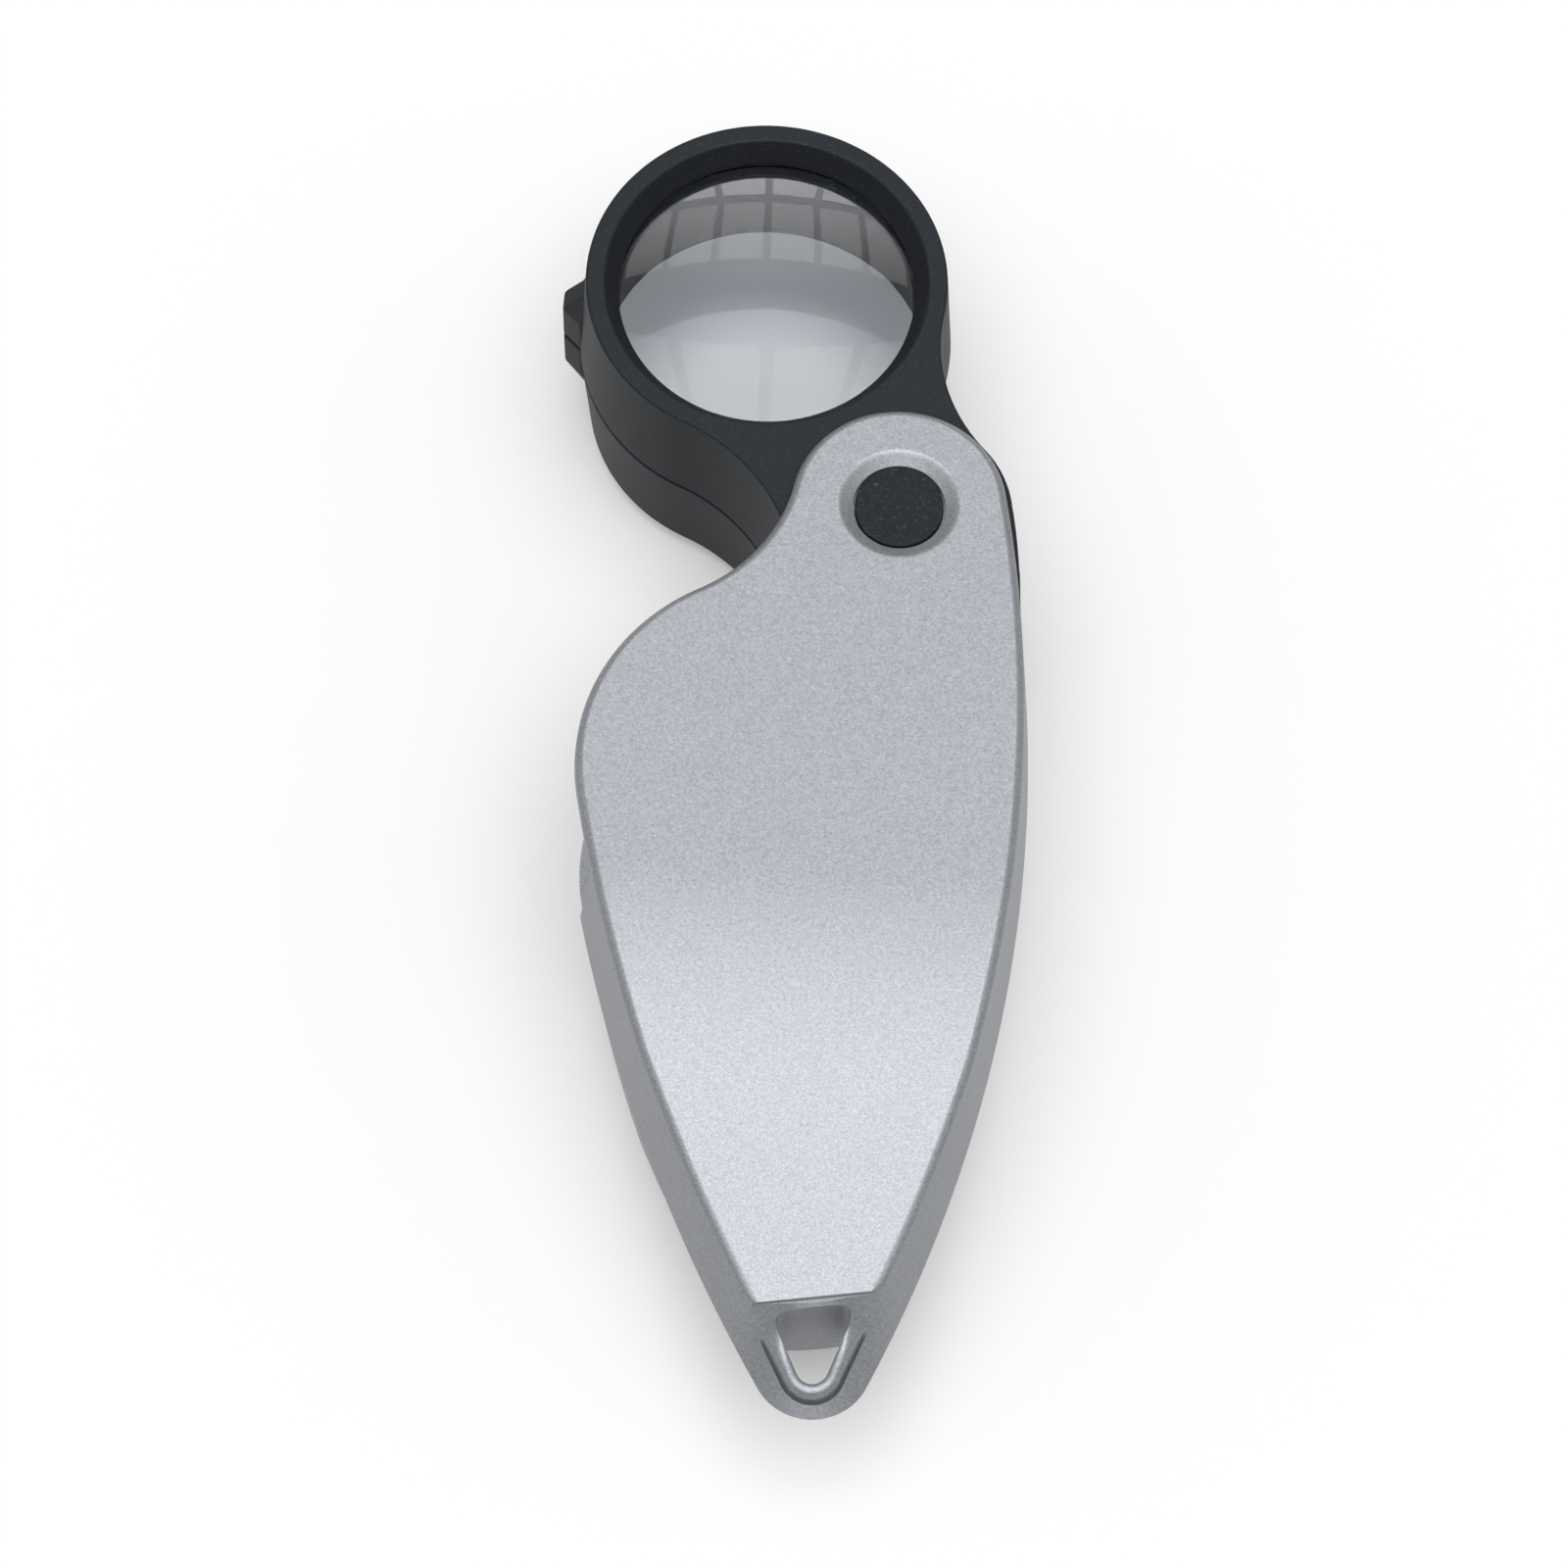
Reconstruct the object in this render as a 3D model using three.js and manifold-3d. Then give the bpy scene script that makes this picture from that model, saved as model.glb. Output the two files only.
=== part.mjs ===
// Folding pocket magnifier: a two-shell case with a lens head that swings out of its side.
// Millimetres, +Z up. The origin is the foot of the pivot axis, on the case's back face.
// +X is to the right and +Y towards the lens, seen from the front with the head swung out.
import * as THREE from 'three';
import { mergeVertices } from 'three/addons/utils/BufferGeometryUtils.js';
import Module from 'manifold-3d';

const wasm = await Module();
wasm.setup();

// Case: overall thickness, plates and walls
const caseThickness = 21.4;
const coverThickness = 1.2;
const wallInset = 1.95;
const sideDraft = 0.8;
const edgeWidth = 0.35;
const edgeDrop = 0.3;
const seamGap = 0.02;

// Case outline at its widest, half-way through the thickness
const lobeRadius = 8.6;
const bulgeRadius = 16.03;
const bulgeAcross = -7.27;
const bulgeAlong = -20.72;
const waistRadius = 11.8;
const tipRadius = 4.25;
const tipAcross = -4.4;
const tipAlong = -61.75;
const flankRadius = 126;
const spineRadius = 107.5;

// Case face: it slopes down towards the tip and ends in a short straight edge
const slopeStart = -29;
const slopeBend = 20;
const faceEndAlong = -58.83;
const faceEndHeight = 5.09;
const faceEndSlant = 0.127;
const faceAnchorAlong = -54;
const tipInset = 0.95;
const tipInsetStart = -43;

// Hollow, slot and the open right side round the hub
const hollowEnd = -56;
const slotRadius = 36.2;
const spineTop = -5.5;

// Lanyard eye through the tip
const eyeTop = -59.35;
const eyeLength = 4.55;
const eyeWidth = 5.9;
const eyeEndRadius = 1.2;
const eyeSlant = 0.025;
const beadWidth = 0.95;
const beadRise = 0.4;

// Lens head: outline at its seam, half-way through the thickness
const headClearance = 0.3;
const armLength = 21.58;
const openAngle = 118.1;
const ringRadius = 13.96;
const hubRadius = 8.85;
const leftFilletRadius = 14;
const rightFilletRadius = 12.5;
const headDraft = 0.75;
const grooveWidth = 0.35;
const grooveDepth = 0.45;

// Opening lever on the hub, which rests on the end of the spine wall when the head is out
const leverReach = 9.42;
const leverMiddleReach = 9.25;
const leverTopReach = 8.9;
const leverTop = 0.4;
const leverMiddle = -2.6;
const leverBottom = -5.2;

// Grip on the ring: one nub and three ribs, placed by their angle about the lens
const nubStartAngle = 170;
const nubEdgeAngle = 174.3;
const nubRidgeAngle = 180;
const nubEndAngle = 185.5;
const nubReach = 1.15;
const nubHalfHeight = 6.4;
const nubEdgeHalfHeight = 3.9;
const ribAngle = 160.5;
const ribPitch = 9.2;
const ribCount = 3;
const ribWidth = 1.3;
const ribReach = 0.3;
const ribHalfHeight = 6;

// Lenses: two plano-convex elements, curved sides to the front, held apart by a tube
const viewRadius = 11;
const bevelRadius = 11.98;
const bevelDepth = 1.57;
const lipThickness = 0.3;
const lensRadius = 11.4;
const lensSeatClearance = 0.12;
const lensCurvature = 43;
const lensEdgeThickness = 2.2;
const lensAxialClearance = 0.13;
const tubeWall = 0.7;
const tubeEndClearance = 0.05;

// Pivot: dish, cap, screw, nut, sleeve, bushes, washers
const dishRadius = 4.4;
const dishDepth = 0.5;
const capRadius = 3.3;
const capThickness = 0.9;
const capClearance = 0.15;
const capSeatGap = 0.05;
const screwHeadRadius = 2.3;
const screwHeadHeight = 1.15;
const screwShankRadius = 1.2;
const screwSocketRadius = 1;
const screwSocketDepth = 0.8;
const nutRadius = 2.5;
const nutHeight = 1.7;
const nutBoreClearance = 0.1;
const pocketClearance = 0.2;
const bossRadius = 5.6;
const bossHeight = 2.3;
const hubRecessClearance = 0.4;
const washerThickness = 0.5;
const springThickness = 0.6;
const stackGap = 0.05;
const sleeveRadius = 2.6;
const sleeveBoreClearance = 0.25;
const bushWall = 0.9;
const runningClearance = 0.06;
const bushGap = 0.1;
const bushFitClearance = 0.05;
const bushSplit = 0.3;
const washerRimClearance = 0.3;

// Case screws: three in a triangle, driven from the back
const rightScrewAcross = 3.9;
const rightScrewAlong = -35.6;
const leftScrewAcross = -13.5;
const leftScrewAlong = -39.6;
const tipScrewAcross = -5.2;
const tipScrewAlong = -52.6;
const caseScrewHeadRadius = 1.9;
const caseScrewHeadHeight = 1.2;
const caseScrewSink = 0.35;
const caseScrewShankRadius = 0.95;
const caseScrewBite = 4.5;
const caseScrewSocketRadius = 0.75;
const caseScrewSocketDepth = 0.6;
const screwBossRadius = 2.3;
const screwHoleClearance = 0.2;
const screwPilotClearance = 0.1;

// Fineness of the facets, and an overrun for cuts
const fineStep = 1.6;
const arcStepAngle = 7;
const roundSegments = 32;
const lensSegments = 48;
const lensRings = 5;
const smallSegments = 20;
const overrun = 5;
const weldDistance = 0.00001;

const middle = caseThickness / 2;
const slopeRise = (middle - faceEndHeight) / (slopeStart - slopeBend / 2 - faceEndAlong);
const degrees = Math.PI / 180;
const caseScrewPlaces = [
  { name: 'right_case_screw', across: rightScrewAcross, along: rightScrewAlong },
  { name: 'left_case_screw', across: leftScrewAcross, along: leftScrewAlong },
  { name: 'tip_case_screw', across: tipScrewAcross, along: tipScrewAlong },
];

// Solids from closed geometries, and back again

function solid(geometry) {
  const bare = new THREE.BufferGeometry();
  bare.setAttribute('position', geometry.getAttribute('position'));
  if (geometry.index) bare.setIndex(geometry.index);
  const merged = mergeVertices(bare, weldDistance);
  return new wasm.Manifold(new wasm.Mesh({
    numProp: 3,
    vertProperties: new Float32Array(merged.getAttribute('position').array),
    triVerts: new Uint32Array(merged.index.array),
  }));
}

function geometryOf(manifold) {
  const { vertProperties, triVerts, numProp } = manifold.getMesh();
  const positions = new Float32Array((vertProperties.length / numProp) * 3);
  for (let i = 0; i < positions.length / 3; i += 1) {
    for (let k = 0; k < 3; k += 1) positions[i * 3 + k] = vertProperties[i * numProp + k];
  }
  const geometry = new THREE.BufferGeometry();
  geometry.setAttribute('position', new THREE.BufferAttribute(positions, 3));
  geometry.setIndex(new THREE.BufferAttribute(new Uint32Array(triVerts), 1));
  geometry.computeVertexNormals();
  return geometry;
}

// A plan outline raised from one level to another
function prism(points, low, high) {
  const shape = new THREE.Shape(points.map((p) => new THREE.Vector2(p.x, p.y)));
  const geometry = new THREE.ExtrudeGeometry(shape, { depth: high - low, bevelEnabled: false });
  geometry.translate(0, 0, low);
  return solid(geometry);
}

// A side outline, in distance along Y and height, carried right across the part
function sidePrism(points, reach) {
  const shape = new THREE.Shape(points.map((p) => new THREE.Vector2(p.y, p.z)));
  const geometry = new THREE.ExtrudeGeometry(shape, { depth: 2 * reach, bevelEnabled: false });
  geometry.rotateX(Math.PI / 2).rotateZ(Math.PI / 2);
  geometry.translate(-reach, 0, 0);
  return solid(geometry);
}

// A closed profile of radius and height, turned about an upright axis
function turned(profile, segments, x = 0, y = 0) {
  const points = profile.map(([radius, height]) => new THREE.Vector2(radius, height));
  const geometry = new THREE.LatheGeometry(points, segments);
  geometry.rotateX(Math.PI / 2);
  geometry.translate(x, y, 0);
  return solid(geometry);
}

function disc(radius, low, high, segments, x = 0, y = 0) {
  return turned([[0, low], [radius, low], [radius, high], [0, high]], segments, x, y);
}

function ring(inner, outer, low, high, segments, x = 0, y = 0) {
  const profile = [[inner, low], [outer, low], [outer, high], [inner, high], [inner, low]];
  return turned(profile, segments, x, y);
}

// A skin through rings of the same number of points, closed at both ends
function loft(rings) {
  const count = rings[0].length;
  const positions = rings.flat().flatMap((p) => [p.x, p.y, p.z]);
  const index = [];
  for (let level = 0; level + 1 < rings.length; level += 1) {
    for (let i = 0; i < count; i += 1) {
      const next = (i + 1) % count;
      const [a, b] = [level * count + i, level * count + next];
      index.push(a, b, b + count, a, b + count, a + count);
    }
  }
  const cap = (points, base, flip) => {
    const flat = points.map((p) => new THREE.Vector2(p.x, p.y));
    for (const [a, b, c] of THREE.ShapeUtils.triangulateShape(flat, [])) {
      if (flip) index.push(base + a, base + c, base + b);
      else index.push(base + a, base + b, base + c);
    }
  };
  cap(rings[0], 0, true);
  cap(rings.at(-1), (rings.length - 1) * count, false);
  const geometry = new THREE.BufferGeometry();
  geometry.setAttribute('position', new THREE.Float32BufferAttribute(positions, 3));
  geometry.setIndex(index);
  return solid(geometry);
}

// Plan outlines as points that carry their outward normal

// Points along an arc, outward normals away from its centre, or towards it on a hollow arc
function arc(centre, radius, from, to, step = fineStep) {
  const span = Math.abs(to - from) * degrees;
  const chords = (span * radius) / step;
  const count = Math.max(1, Math.ceil(Math.max(Math.min(chords, span / (arcStepAngle * degrees)), 1)));
  const sense = to >= from ? 1 : -1;
  const points = [];
  for (let i = 0; i <= count; i += 1) {
    const angle = (from + ((to - from) * i) / count) * degrees;
    const nx = Math.cos(angle);
    const ny = Math.sin(angle);
    points.push({
      x: centre.x + radius * nx, y: centre.y + radius * ny, nx: sense * nx, ny: sense * ny,
    });
  }
  return points;
}

const polar = (radius, angle) => ({
  x: radius * Math.cos(angle * degrees), y: radius * Math.sin(angle * degrees),
});
const bearing = (from, to) => Math.atan2(to.y - from.y, to.x - from.x) / degrees;
const distance = (a, b) => Math.hypot(b.x - a.x, b.y - a.y);

// Centre at given distances from two points, on the left or right of the line from a to b
function apex(a, b, fromA, fromB, side) {
  const base = distance(a, b);
  const cosine = (fromA ** 2 + base ** 2 - fromB ** 2) / (2 * fromA * base);
  const angle = bearing(a, b) + side * (Math.acos(cosine) / degrees);
  const step = polar(fromA, angle);
  return { x: a.x + step.x, y: a.y + step.y };
}

// An angle moved by whole turns until it follows another
function after(angle, previous) {
  let result = angle;
  while (result < previous) result += 360;
  while (result >= previous + 360) result -= 360;
  return result;
}

function dropRepeats(points) {
  const near = fineStep / 50;
  return points.filter((p, i) => distance(p, points[(i + 1) % points.length]) > near);
}

const inward = (points, inset) => points.map((p) => ({
  ...p, x: p.x - p.nx * inset, y: p.y - p.ny * inset,
}));
const atHeight = (points, z) => points.map((p) => ({ ...p, z }));

// The case

const pivot = { x: 0, y: 0 };
const bulgeCentre = { x: bulgeAcross, y: bulgeAlong };
const tipCentre = { x: tipAcross, y: tipAlong };

// Lobe, hollow waist, bulge, left flank, tip and spine, each tangent to the next
function caseOutline() {
  const waist = apex(pivot, bulgeCentre, lobeRadius + waistRadius, bulgeRadius + waistRadius, -1);
  const flank = apex(bulgeCentre, tipCentre, flankRadius - bulgeRadius, flankRadius - tipRadius, 1);
  const spine = apex(pivot, tipCentre, spineRadius - lobeRadius, spineRadius - tipRadius, -1);
  const lobeFrom = bearing(spine, pivot);
  const lobeTo = after(bearing(pivot, waist), lobeFrom);
  const waistFrom = after(bearing(waist, pivot), 0);
  const waistTo = waistFrom - after(waistFrom - bearing(waist, bulgeCentre), 0);
  const bulgeFrom = bearing(bulgeCentre, waist);
  const bulgeTo = after(bearing(flank, bulgeCentre), bulgeFrom);
  const flankTo = after(bearing(flank, tipCentre), bulgeTo);
  const tipTo = after(bearing(spine, tipCentre), flankTo);
  const spineTo = after(lobeFrom, tipTo);
  const longStep = 2 * fineStep;
  return withFaceCorners(dropRepeats([
    ...arc(pivot, lobeRadius, lobeFrom, lobeTo).slice(0, -1),
    ...arc(waist, waistRadius, waistFrom, waistTo).slice(1, -1),
    ...arc(bulgeCentre, bulgeRadius, bulgeFrom, bulgeTo).slice(1),
    ...longArc(flank, flankRadius, bulgeTo, flankTo, longStep),
    ...arc(tipCentre, tipRadius, flankTo, tipTo),
    ...longArc(spine, spineRadius, tipTo, spineTo, longStep),
  ]));
}

// The same outline with points added where its inset meets the straight end of the face
function withFaceCorners(outline) {
  const past = outline.map((p) => {
    const at = insetPoint(p, sideDraft + edgeWidth);
    return faceEndAlong + faceEndSlant * (at.x - tipCentre.x) - at.y;
  });
  return outline.flatMap((p, i) => {
    const j = (i + 1) % outline.length;
    if (past[i] * past[j] >= 0) return [p];
    const part = past[i] / (past[i] - past[j]);
    const q = outline[j];
    const blend = (key) => p[key] + (q[key] - p[key]) * part;
    return [p, { x: blend('x'), y: blend('y'), nx: blend('nx'), ny: blend('ny') }];
  });
}

// A flat arc of large radius, split by length alone
function longArc(centre, radius, from, to, step) {
  const count = Math.ceil((Math.abs(to - from) * degrees * radius) / step);
  return Array.from({ length: count + 1 }, (_, i) => {
    const angle = from + ((to - from) * i) / count;
    const { x: nx, y: ny } = polar(1, angle);
    return { x: centre.x + radius * nx, y: centre.y + radius * ny, nx, ny };
  });
}

const outline = caseOutline();

// How far the face has dropped at a place along the case
function faceDrop(y) {
  const past = slopeStart - y;
  if (past <= 0) return 0;
  if (past < slopeBend) return (slopeRise * past ** 2) / (2 * slopeBend);
  return slopeRise * (past - slopeBend / 2);
}

// A point of the outline moved in, and further in as it nears the tip
function insetPoint(p, inset) {
  const room = tipInsetStart - faceEndAlong;
  const towardsTip = Math.min(1, Math.max(0, (tipInsetStart - p.y) / room));
  const depth = inset + tipInset * towardsTip;
  return { x: p.x - p.nx * depth, y: p.y - p.ny * depth };
}

// A ring inset from the outline, drawn back to the straight end of the face
function faceRing(outline, inset) {
  const anchor = { x: tipCentre.x, y: faceAnchorAlong };
  return outline.map((p) => {
    const { x, y } = insetPoint(p, inset);
    if (y >= faceEndAlong + faceEndSlant * (x - tipCentre.x)) return { x, y };
    const fall = anchor.y - y + faceEndSlant * (x - anchor.x);
    const part = (anchor.y - faceEndAlong) / fall;
    return { x: anchor.x + (x - anchor.x) * part, y: anchor.y + (y - anchor.y) * part };
  });
}

// Outline of the sloping face seen from the side, lowered by the thickness given. It ends past the
// tip, or where front and back would meet
function slopeLine(lowered) {
  const steps = 6;
  const meeting = slopeStart - slopeBend / 2 - (middle - lowered - seamGap) / slopeRise;
  const end = Math.max(tipAlong - tipRadius - overrun, meeting);
  const places = [lobeRadius + overrun, slopeStart];
  for (let i = 1; i <= steps; i += 1) places.push(slopeStart - (slopeBend * i) / steps);
  places.push(end);
  return places.map((y) => ({ y, z: middle - faceDrop(y) - lowered }));
}

// Everything between the front and the back face, each lowered by the thickness given
function betweenFaces(lowered, reach) {
  const line = slopeLine(lowered);
  const front = line.map((p) => ({ y: p.y, z: middle + p.z }));
  const back = line.map((p) => ({ y: p.y, z: middle - p.z })).reverse();
  return sidePrism([...front, ...back], reach);
}

// One half of the case as a solid block, drafted to its face and with its edge rounded off
function caseBlank(outline, side) {
  const across = 2 * bulgeRadius + lobeRadius;
  const beyond = edgeDrop / 2;
  const edge = faceRing(outline, sideDraft);
  const face = faceRing(outline, sideDraft + (edgeWidth * (edgeDrop + beyond)) / edgeDrop);
  const level = (points, raise) => points.map((p) => ({
    ...p, z: middle + side * (middle - faceDrop(p.y) + raise),
  }));
  const rings = [
    atHeight(outline, middle + (side * seamGap) / 2), level(edge, -edgeDrop), level(face, beyond),
    atHeight(face, middle + side * (middle + overrun)),
  ];
  if (side < 0) rings.reverse();
  return loft(rings).intersect(betweenFaces(0, across)).add(eyeBead(side));
}

// The room inside the walls, stopped short of the tip
function caseHollow(outline) {
  const across = 2 * bulgeRadius + lobeRadius;
  const inside = inward(outline, wallInset).filter((p) => p.y > hollowEnd);
  return prism(inside, 0, caseThickness).intersect(betweenFaces(coverThickness, across));
}

// The way of the head: open all round the lobe and down the left side
function headSlot() {
  const [low, high] = [coverThickness, caseThickness - coverThickness];
  const far = slotRadius + overrun;
  const slotEnd = arc(pivot, slotRadius, 225, 250);
  const plan = [
    { x: far, y: spineTop }, { x: far, y: far }, { x: -far, y: far },
    { x: -far, y: slotEnd[0].y }, ...slotEnd, { x: 0, y: spineTop },
  ];
  return prism(plan, low, high);
}

// Outline of the lanyard eye, wider on the side of the face, grown by the margin given
function eyeOutline(margin) {
  const endRadius = eyeEndRadius + margin;
  const endCentre = { x: tipAcross + eyeSlant, y: eyeTop - eyeLength + eyeEndRadius };
  const corner = eyeWidth / 2 + margin;
  const top = eyeTop + margin;
  const rise = top - endCentre.y;
  const slant = Math.atan2(corner, rise) / degrees;
  const lean = Math.asin(endRadius / Math.hypot(corner, rise)) / degrees;
  const turn = slant - lean;
  const end = arc(endCentre, endRadius, 180 + turn, 360 - turn, fineStep / 2);
  return [
    { x: endCentre.x + corner, y: top + faceEndSlant * corner },
    { x: endCentre.x - corner, y: top - faceEndSlant * corner }, ...end,
  ];
}

// The raised bead round the eye follows the nose as it falls to the tip
function eyeBead(side) {
  const across = eyeWidth + 2 * beadWidth + overrun;
  const fall = (middle - faceDrop(faceEndAlong)) / (faceEndAlong - (tipAlong - tipRadius));
  const heightAt = (y) => (y - (tipAlong - tipRadius)) * fall + beadRise;
  const start = eyeTop - eyeLength / 4;
  const end = eyeTop - eyeLength - beadWidth - beadRise;
  const places = [{ y: start, z: heightAt(start) }, { y: end, z: heightAt(end) }];
  const seam = middle + side * (seamGap + beadRise);
  const section = [
    ...places.map((p) => ({ y: p.y, z: middle + side * p.z })), { y: end, z: seam }, { y: start, z: seam },
  ];
  if (side < 0) section.reverse();
  const plan = prism(eyeOutline(beadWidth), 0, caseThickness);
  return plan.intersect(sidePrism(section, across));
}

const frontBossEnd = caseThickness - coverThickness - bossHeight;
const backBossEnd = coverThickness + bossHeight;
const bossFloor = bossHeight - dishDepth - capThickness - capSeatGap - screwHeadHeight + coverThickness
  - 2 * stackGap;
const shankHole = screwShankRadius + pocketClearance;

// Round the pivot the front cover has a dish, a cap pocket and a bore for the screw head
function frontPivotCut() {
  const capSeat = caseThickness - dishDepth - capThickness - capSeatGap;
  const pocket = capRadius + capClearance;
  const headBore = screwHeadRadius + pocketClearance;
  const dish = turned([
    [0, capSeat], [pocket, capSeat], [pocket, caseThickness - dishDepth], [dishRadius, caseThickness],
    [dishRadius, caseThickness + overrun], [0, caseThickness + overrun],
  ], roundSegments);
  return dish.add(disc(headBore, frontBossEnd + bossFloor, capSeat + seamGap, roundSegments))
    .add(disc(shankHole, frontBossEnd - overrun, capSeat, roundSegments));
}

function backPivotCut() {
  const capSeat = capThickness + capSeatGap;
  const nutSeat = capSeat + nutHeight + 2 * stackGap;
  return disc(capRadius + capClearance, -overrun, capSeat, roundSegments)
    .add(disc(nutRadius + pocketClearance, 0, nutSeat, roundSegments))
    .add(disc(shankHole, 0, backBossEnd + overrun, roundSegments));
}

const screwBase = (place) => faceDrop(place.along) + caseScrewSink;
const screwNeck = (place) => screwBase(place) + caseScrewHeadHeight;

// A boss from one level to another, kept within the walls and plates of the case
function caseBoss(radius, low, high, place) {
  const across = 2 * bulgeRadius + lobeRadius;
  const within = prism(inward(outline, wallInset - edgeWidth), 0, caseThickness)
    .intersect(betweenFaces(coverThickness / 2, across));
  return disc(radius, low, high, smallSegments, place.across, place.along).intersect(within);
}

function frontCover() {
  let cover = caseShell(caseBlank(outline, 1));
  cover = cover.add(disc(bossRadius, frontBossEnd, caseThickness - coverThickness, roundSegments));
  for (const place of caseScrewPlaces) {
    cover = cover.add(caseBoss(screwBossRadius, middle + seamGap / 2, caseThickness, place));
    const pilot = caseScrewShankRadius + screwPilotClearance;
    const depth = middle + caseScrewBite + screwHoleClearance;
    cover = cover.subtract(disc(pilot, 0, depth, smallSegments, place.across, place.along));
  }
  return cover.subtract(frontPivotCut());
}

function backCover() {
  let cover = caseShell(caseBlank(outline, -1));
  cover = cover.add(disc(bossRadius, coverThickness, backBossEnd, roundSegments));
  for (const place of caseScrewPlaces) {
    const { across: x, along: y } = place;
    const shank = caseScrewShankRadius + screwHoleClearance;
    const head = caseScrewHeadRadius + screwHoleClearance;
    cover = cover.add(caseBoss(head + coverThickness, 0, screwNeck(place) + coverThickness, place))
      .add(caseBoss(screwBossRadius, 0, middle - seamGap / 2, place));
    cover = cover.subtract(disc(shank, -overrun, caseThickness, smallSegments, x, y));
    cover = cover.subtract(disc(head, -overrun, screwNeck(place) + stackGap, smallSegments, x, y));
  }
  return cover.subtract(backPivotCut());
}

function halfSpace(low, high) {
  const far = 2 * (slotRadius + armLength + ringRadius);
  const plan = [
    { x: -far, y: -far }, { x: far, y: -far }, { x: far, y: far }, { x: -far, y: far },
  ];
  return prism(plan, low, high);
}

function caseShell(blank) {
  return blank.subtract(caseHollow(outline)).subtract(headSlot())
    .subtract(prism(eyeOutline(0), -overrun, caseThickness + overrun));
}

function caseScrew(place) {
  const { across: x, along: y } = place;
  const [base, neck, tip] = [screwBase(place), screwNeck(place), middle + caseScrewBite];
  const socket = base + caseScrewSocketDepth;
  return turned([
    [0, socket], [caseScrewSocketRadius, socket], [caseScrewSocketRadius, base],
    [caseScrewHeadRadius, base], [caseScrewHeadRadius, neck], [caseScrewShankRadius, neck],
    [caseScrewShankRadius, tip - caseScrewShankRadius], [0, tip],
  ], smallSegments, x, y);
}

// The lens head

const headBack = coverThickness + headClearance;
const headFront = caseThickness - headBack;
const lensCentre = polar(armLength, openAngle);

// Ring, left fillet, hub, lever and right fillet at the seam. Points where a bend changes
// sense are left out, because their neighbours already lie in line.
function headOutline() {
  const left = apex(lensCentre, pivot, ringRadius + leftFilletRadius, hubRadius + leftFilletRadius, -1);
  const right = apex(lensCentre, pivot, ringRadius + rightFilletRadius, hubRadius + rightFilletRadius, 1);
  const ringFrom = bearing(lensCentre, right);
  const ringTo = after(bearing(lensCentre, left), ringFrom);
  const leftFrom = after(bearing(left, lensCentre), 0);
  const leftTo = leftFrom - after(leftFrom - bearing(left, pivot), 0);
  const hubFrom = after(bearing(pivot, left), 0);
  const hubToLever = 360 + Math.asin(leverBottom / hubRadius) / degrees;
  const leverToHub = Math.asin(leverTop / hubRadius) / degrees + arcStepAngle / 2;
  const hubTo = after(bearing(pivot, right), leverToHub);
  const rightFrom = after(bearing(right, pivot), 0);
  const rightTo = rightFrom - after(rightFrom - bearing(right, lensCentre), 0);
  return dropRepeats([
    ...arc(lensCentre, ringRadius, ringFrom, ringTo).slice(1, -1),
    ...arc(left, leftFilletRadius, leftFrom, leftTo).slice(1, -1),
    ...arc(pivot, hubRadius, hubFrom, hubToLever).slice(1),
    { x: leverReach, y: leverBottom, nx: 1, ny: -1 },
    { x: leverMiddleReach, y: leverMiddle, nx: 1, ny: 0 },
    { x: leverTopReach, y: leverTop, nx: 1, ny: 0 },
    ...arc(pivot, hubRadius, leverToHub, hubTo).slice(0, -1),
    ...arc(right, rightFilletRadius, rightFrom, rightTo).slice(1, -1),
  ]);
}

// Outer body of the head, grooved round the seam and drafted to both faces
function headBlank() {
  const outline = headOutline();
  const groove = inward(outline, grooveDepth);
  const face = inward(outline, headDraft);
  const [low, high] = [middle - grooveWidth / 2, middle + grooveWidth / 2];
  return loft([
    atHeight(face, headBack), atHeight(outline, low), atHeight(groove, low),
    atHeight(groove, high), atHeight(outline, high), atHeight(face, headFront),
  ]);
}

const ringAt = (reach, angle) => {
  const step = polar(ringRadius + reach, angle);
  return { x: lensCentre.x + step.x, y: lensCentre.y + step.y };
};

// The nub: two upright faces that meet in a ridge, with sloping top and bottom
function gripNub() {
  const rooted = -(headDraft + grooveDepth + ribWidth);
  const plan = (reach) => [
    ringAt(rooted, nubStartAngle), ringAt(Math.min(reach, 0), nubStartAngle), ringAt(reach, nubEdgeAngle),
    ringAt(reach, nubRidgeAngle), ringAt(Math.min(reach, 0), nubEndAngle), ringAt(rooted, nubEndAngle),
  ].reverse();
  const narrow = plan(-headDraft);
  const wide = plan(nubReach);
  const rings = [
    atHeight(narrow, middle - nubHalfHeight), atHeight(wide, middle - nubEdgeHalfHeight),
    atHeight(wide, middle + nubEdgeHalfHeight), atHeight(narrow, middle + nubHalfHeight),
  ];
  const signedArea = THREE.ShapeUtils.area(wide);
  return loft(signedArea > 0 ? rings : rings.map((points) => [...points].reverse()));
}

function gripRibs() {
  const ribs = [];
  for (let i = 0; i < ribCount; i += 1) {
    const angle = ribAngle - i * ribPitch;
    const half = (ribWidth / 2 / ringRadius) / degrees;
    const root = -(headDraft + grooveDepth + ribWidth);
    const plan = (reach) => [
      ringAt(root, angle - half), ringAt(reach, angle - half / 2),
      ringAt(reach, angle + half / 2), ringAt(root, angle + half),
    ];
    const end = plan(ribReach - headDraft * (ribHalfHeight / (middle - headBack)));
    ribs.push(loft([
      atHeight(end, middle - ribHalfHeight), atHeight(plan(ribReach), middle),
      atHeight(end, middle + ribHalfHeight),
    ]));
  }
  return ribs.reduce((all, one) => all.add(one));
}

const seatRadius = lensRadius + lensSeatClearance;
const lipDepth = bevelDepth + lipThickness;

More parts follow.
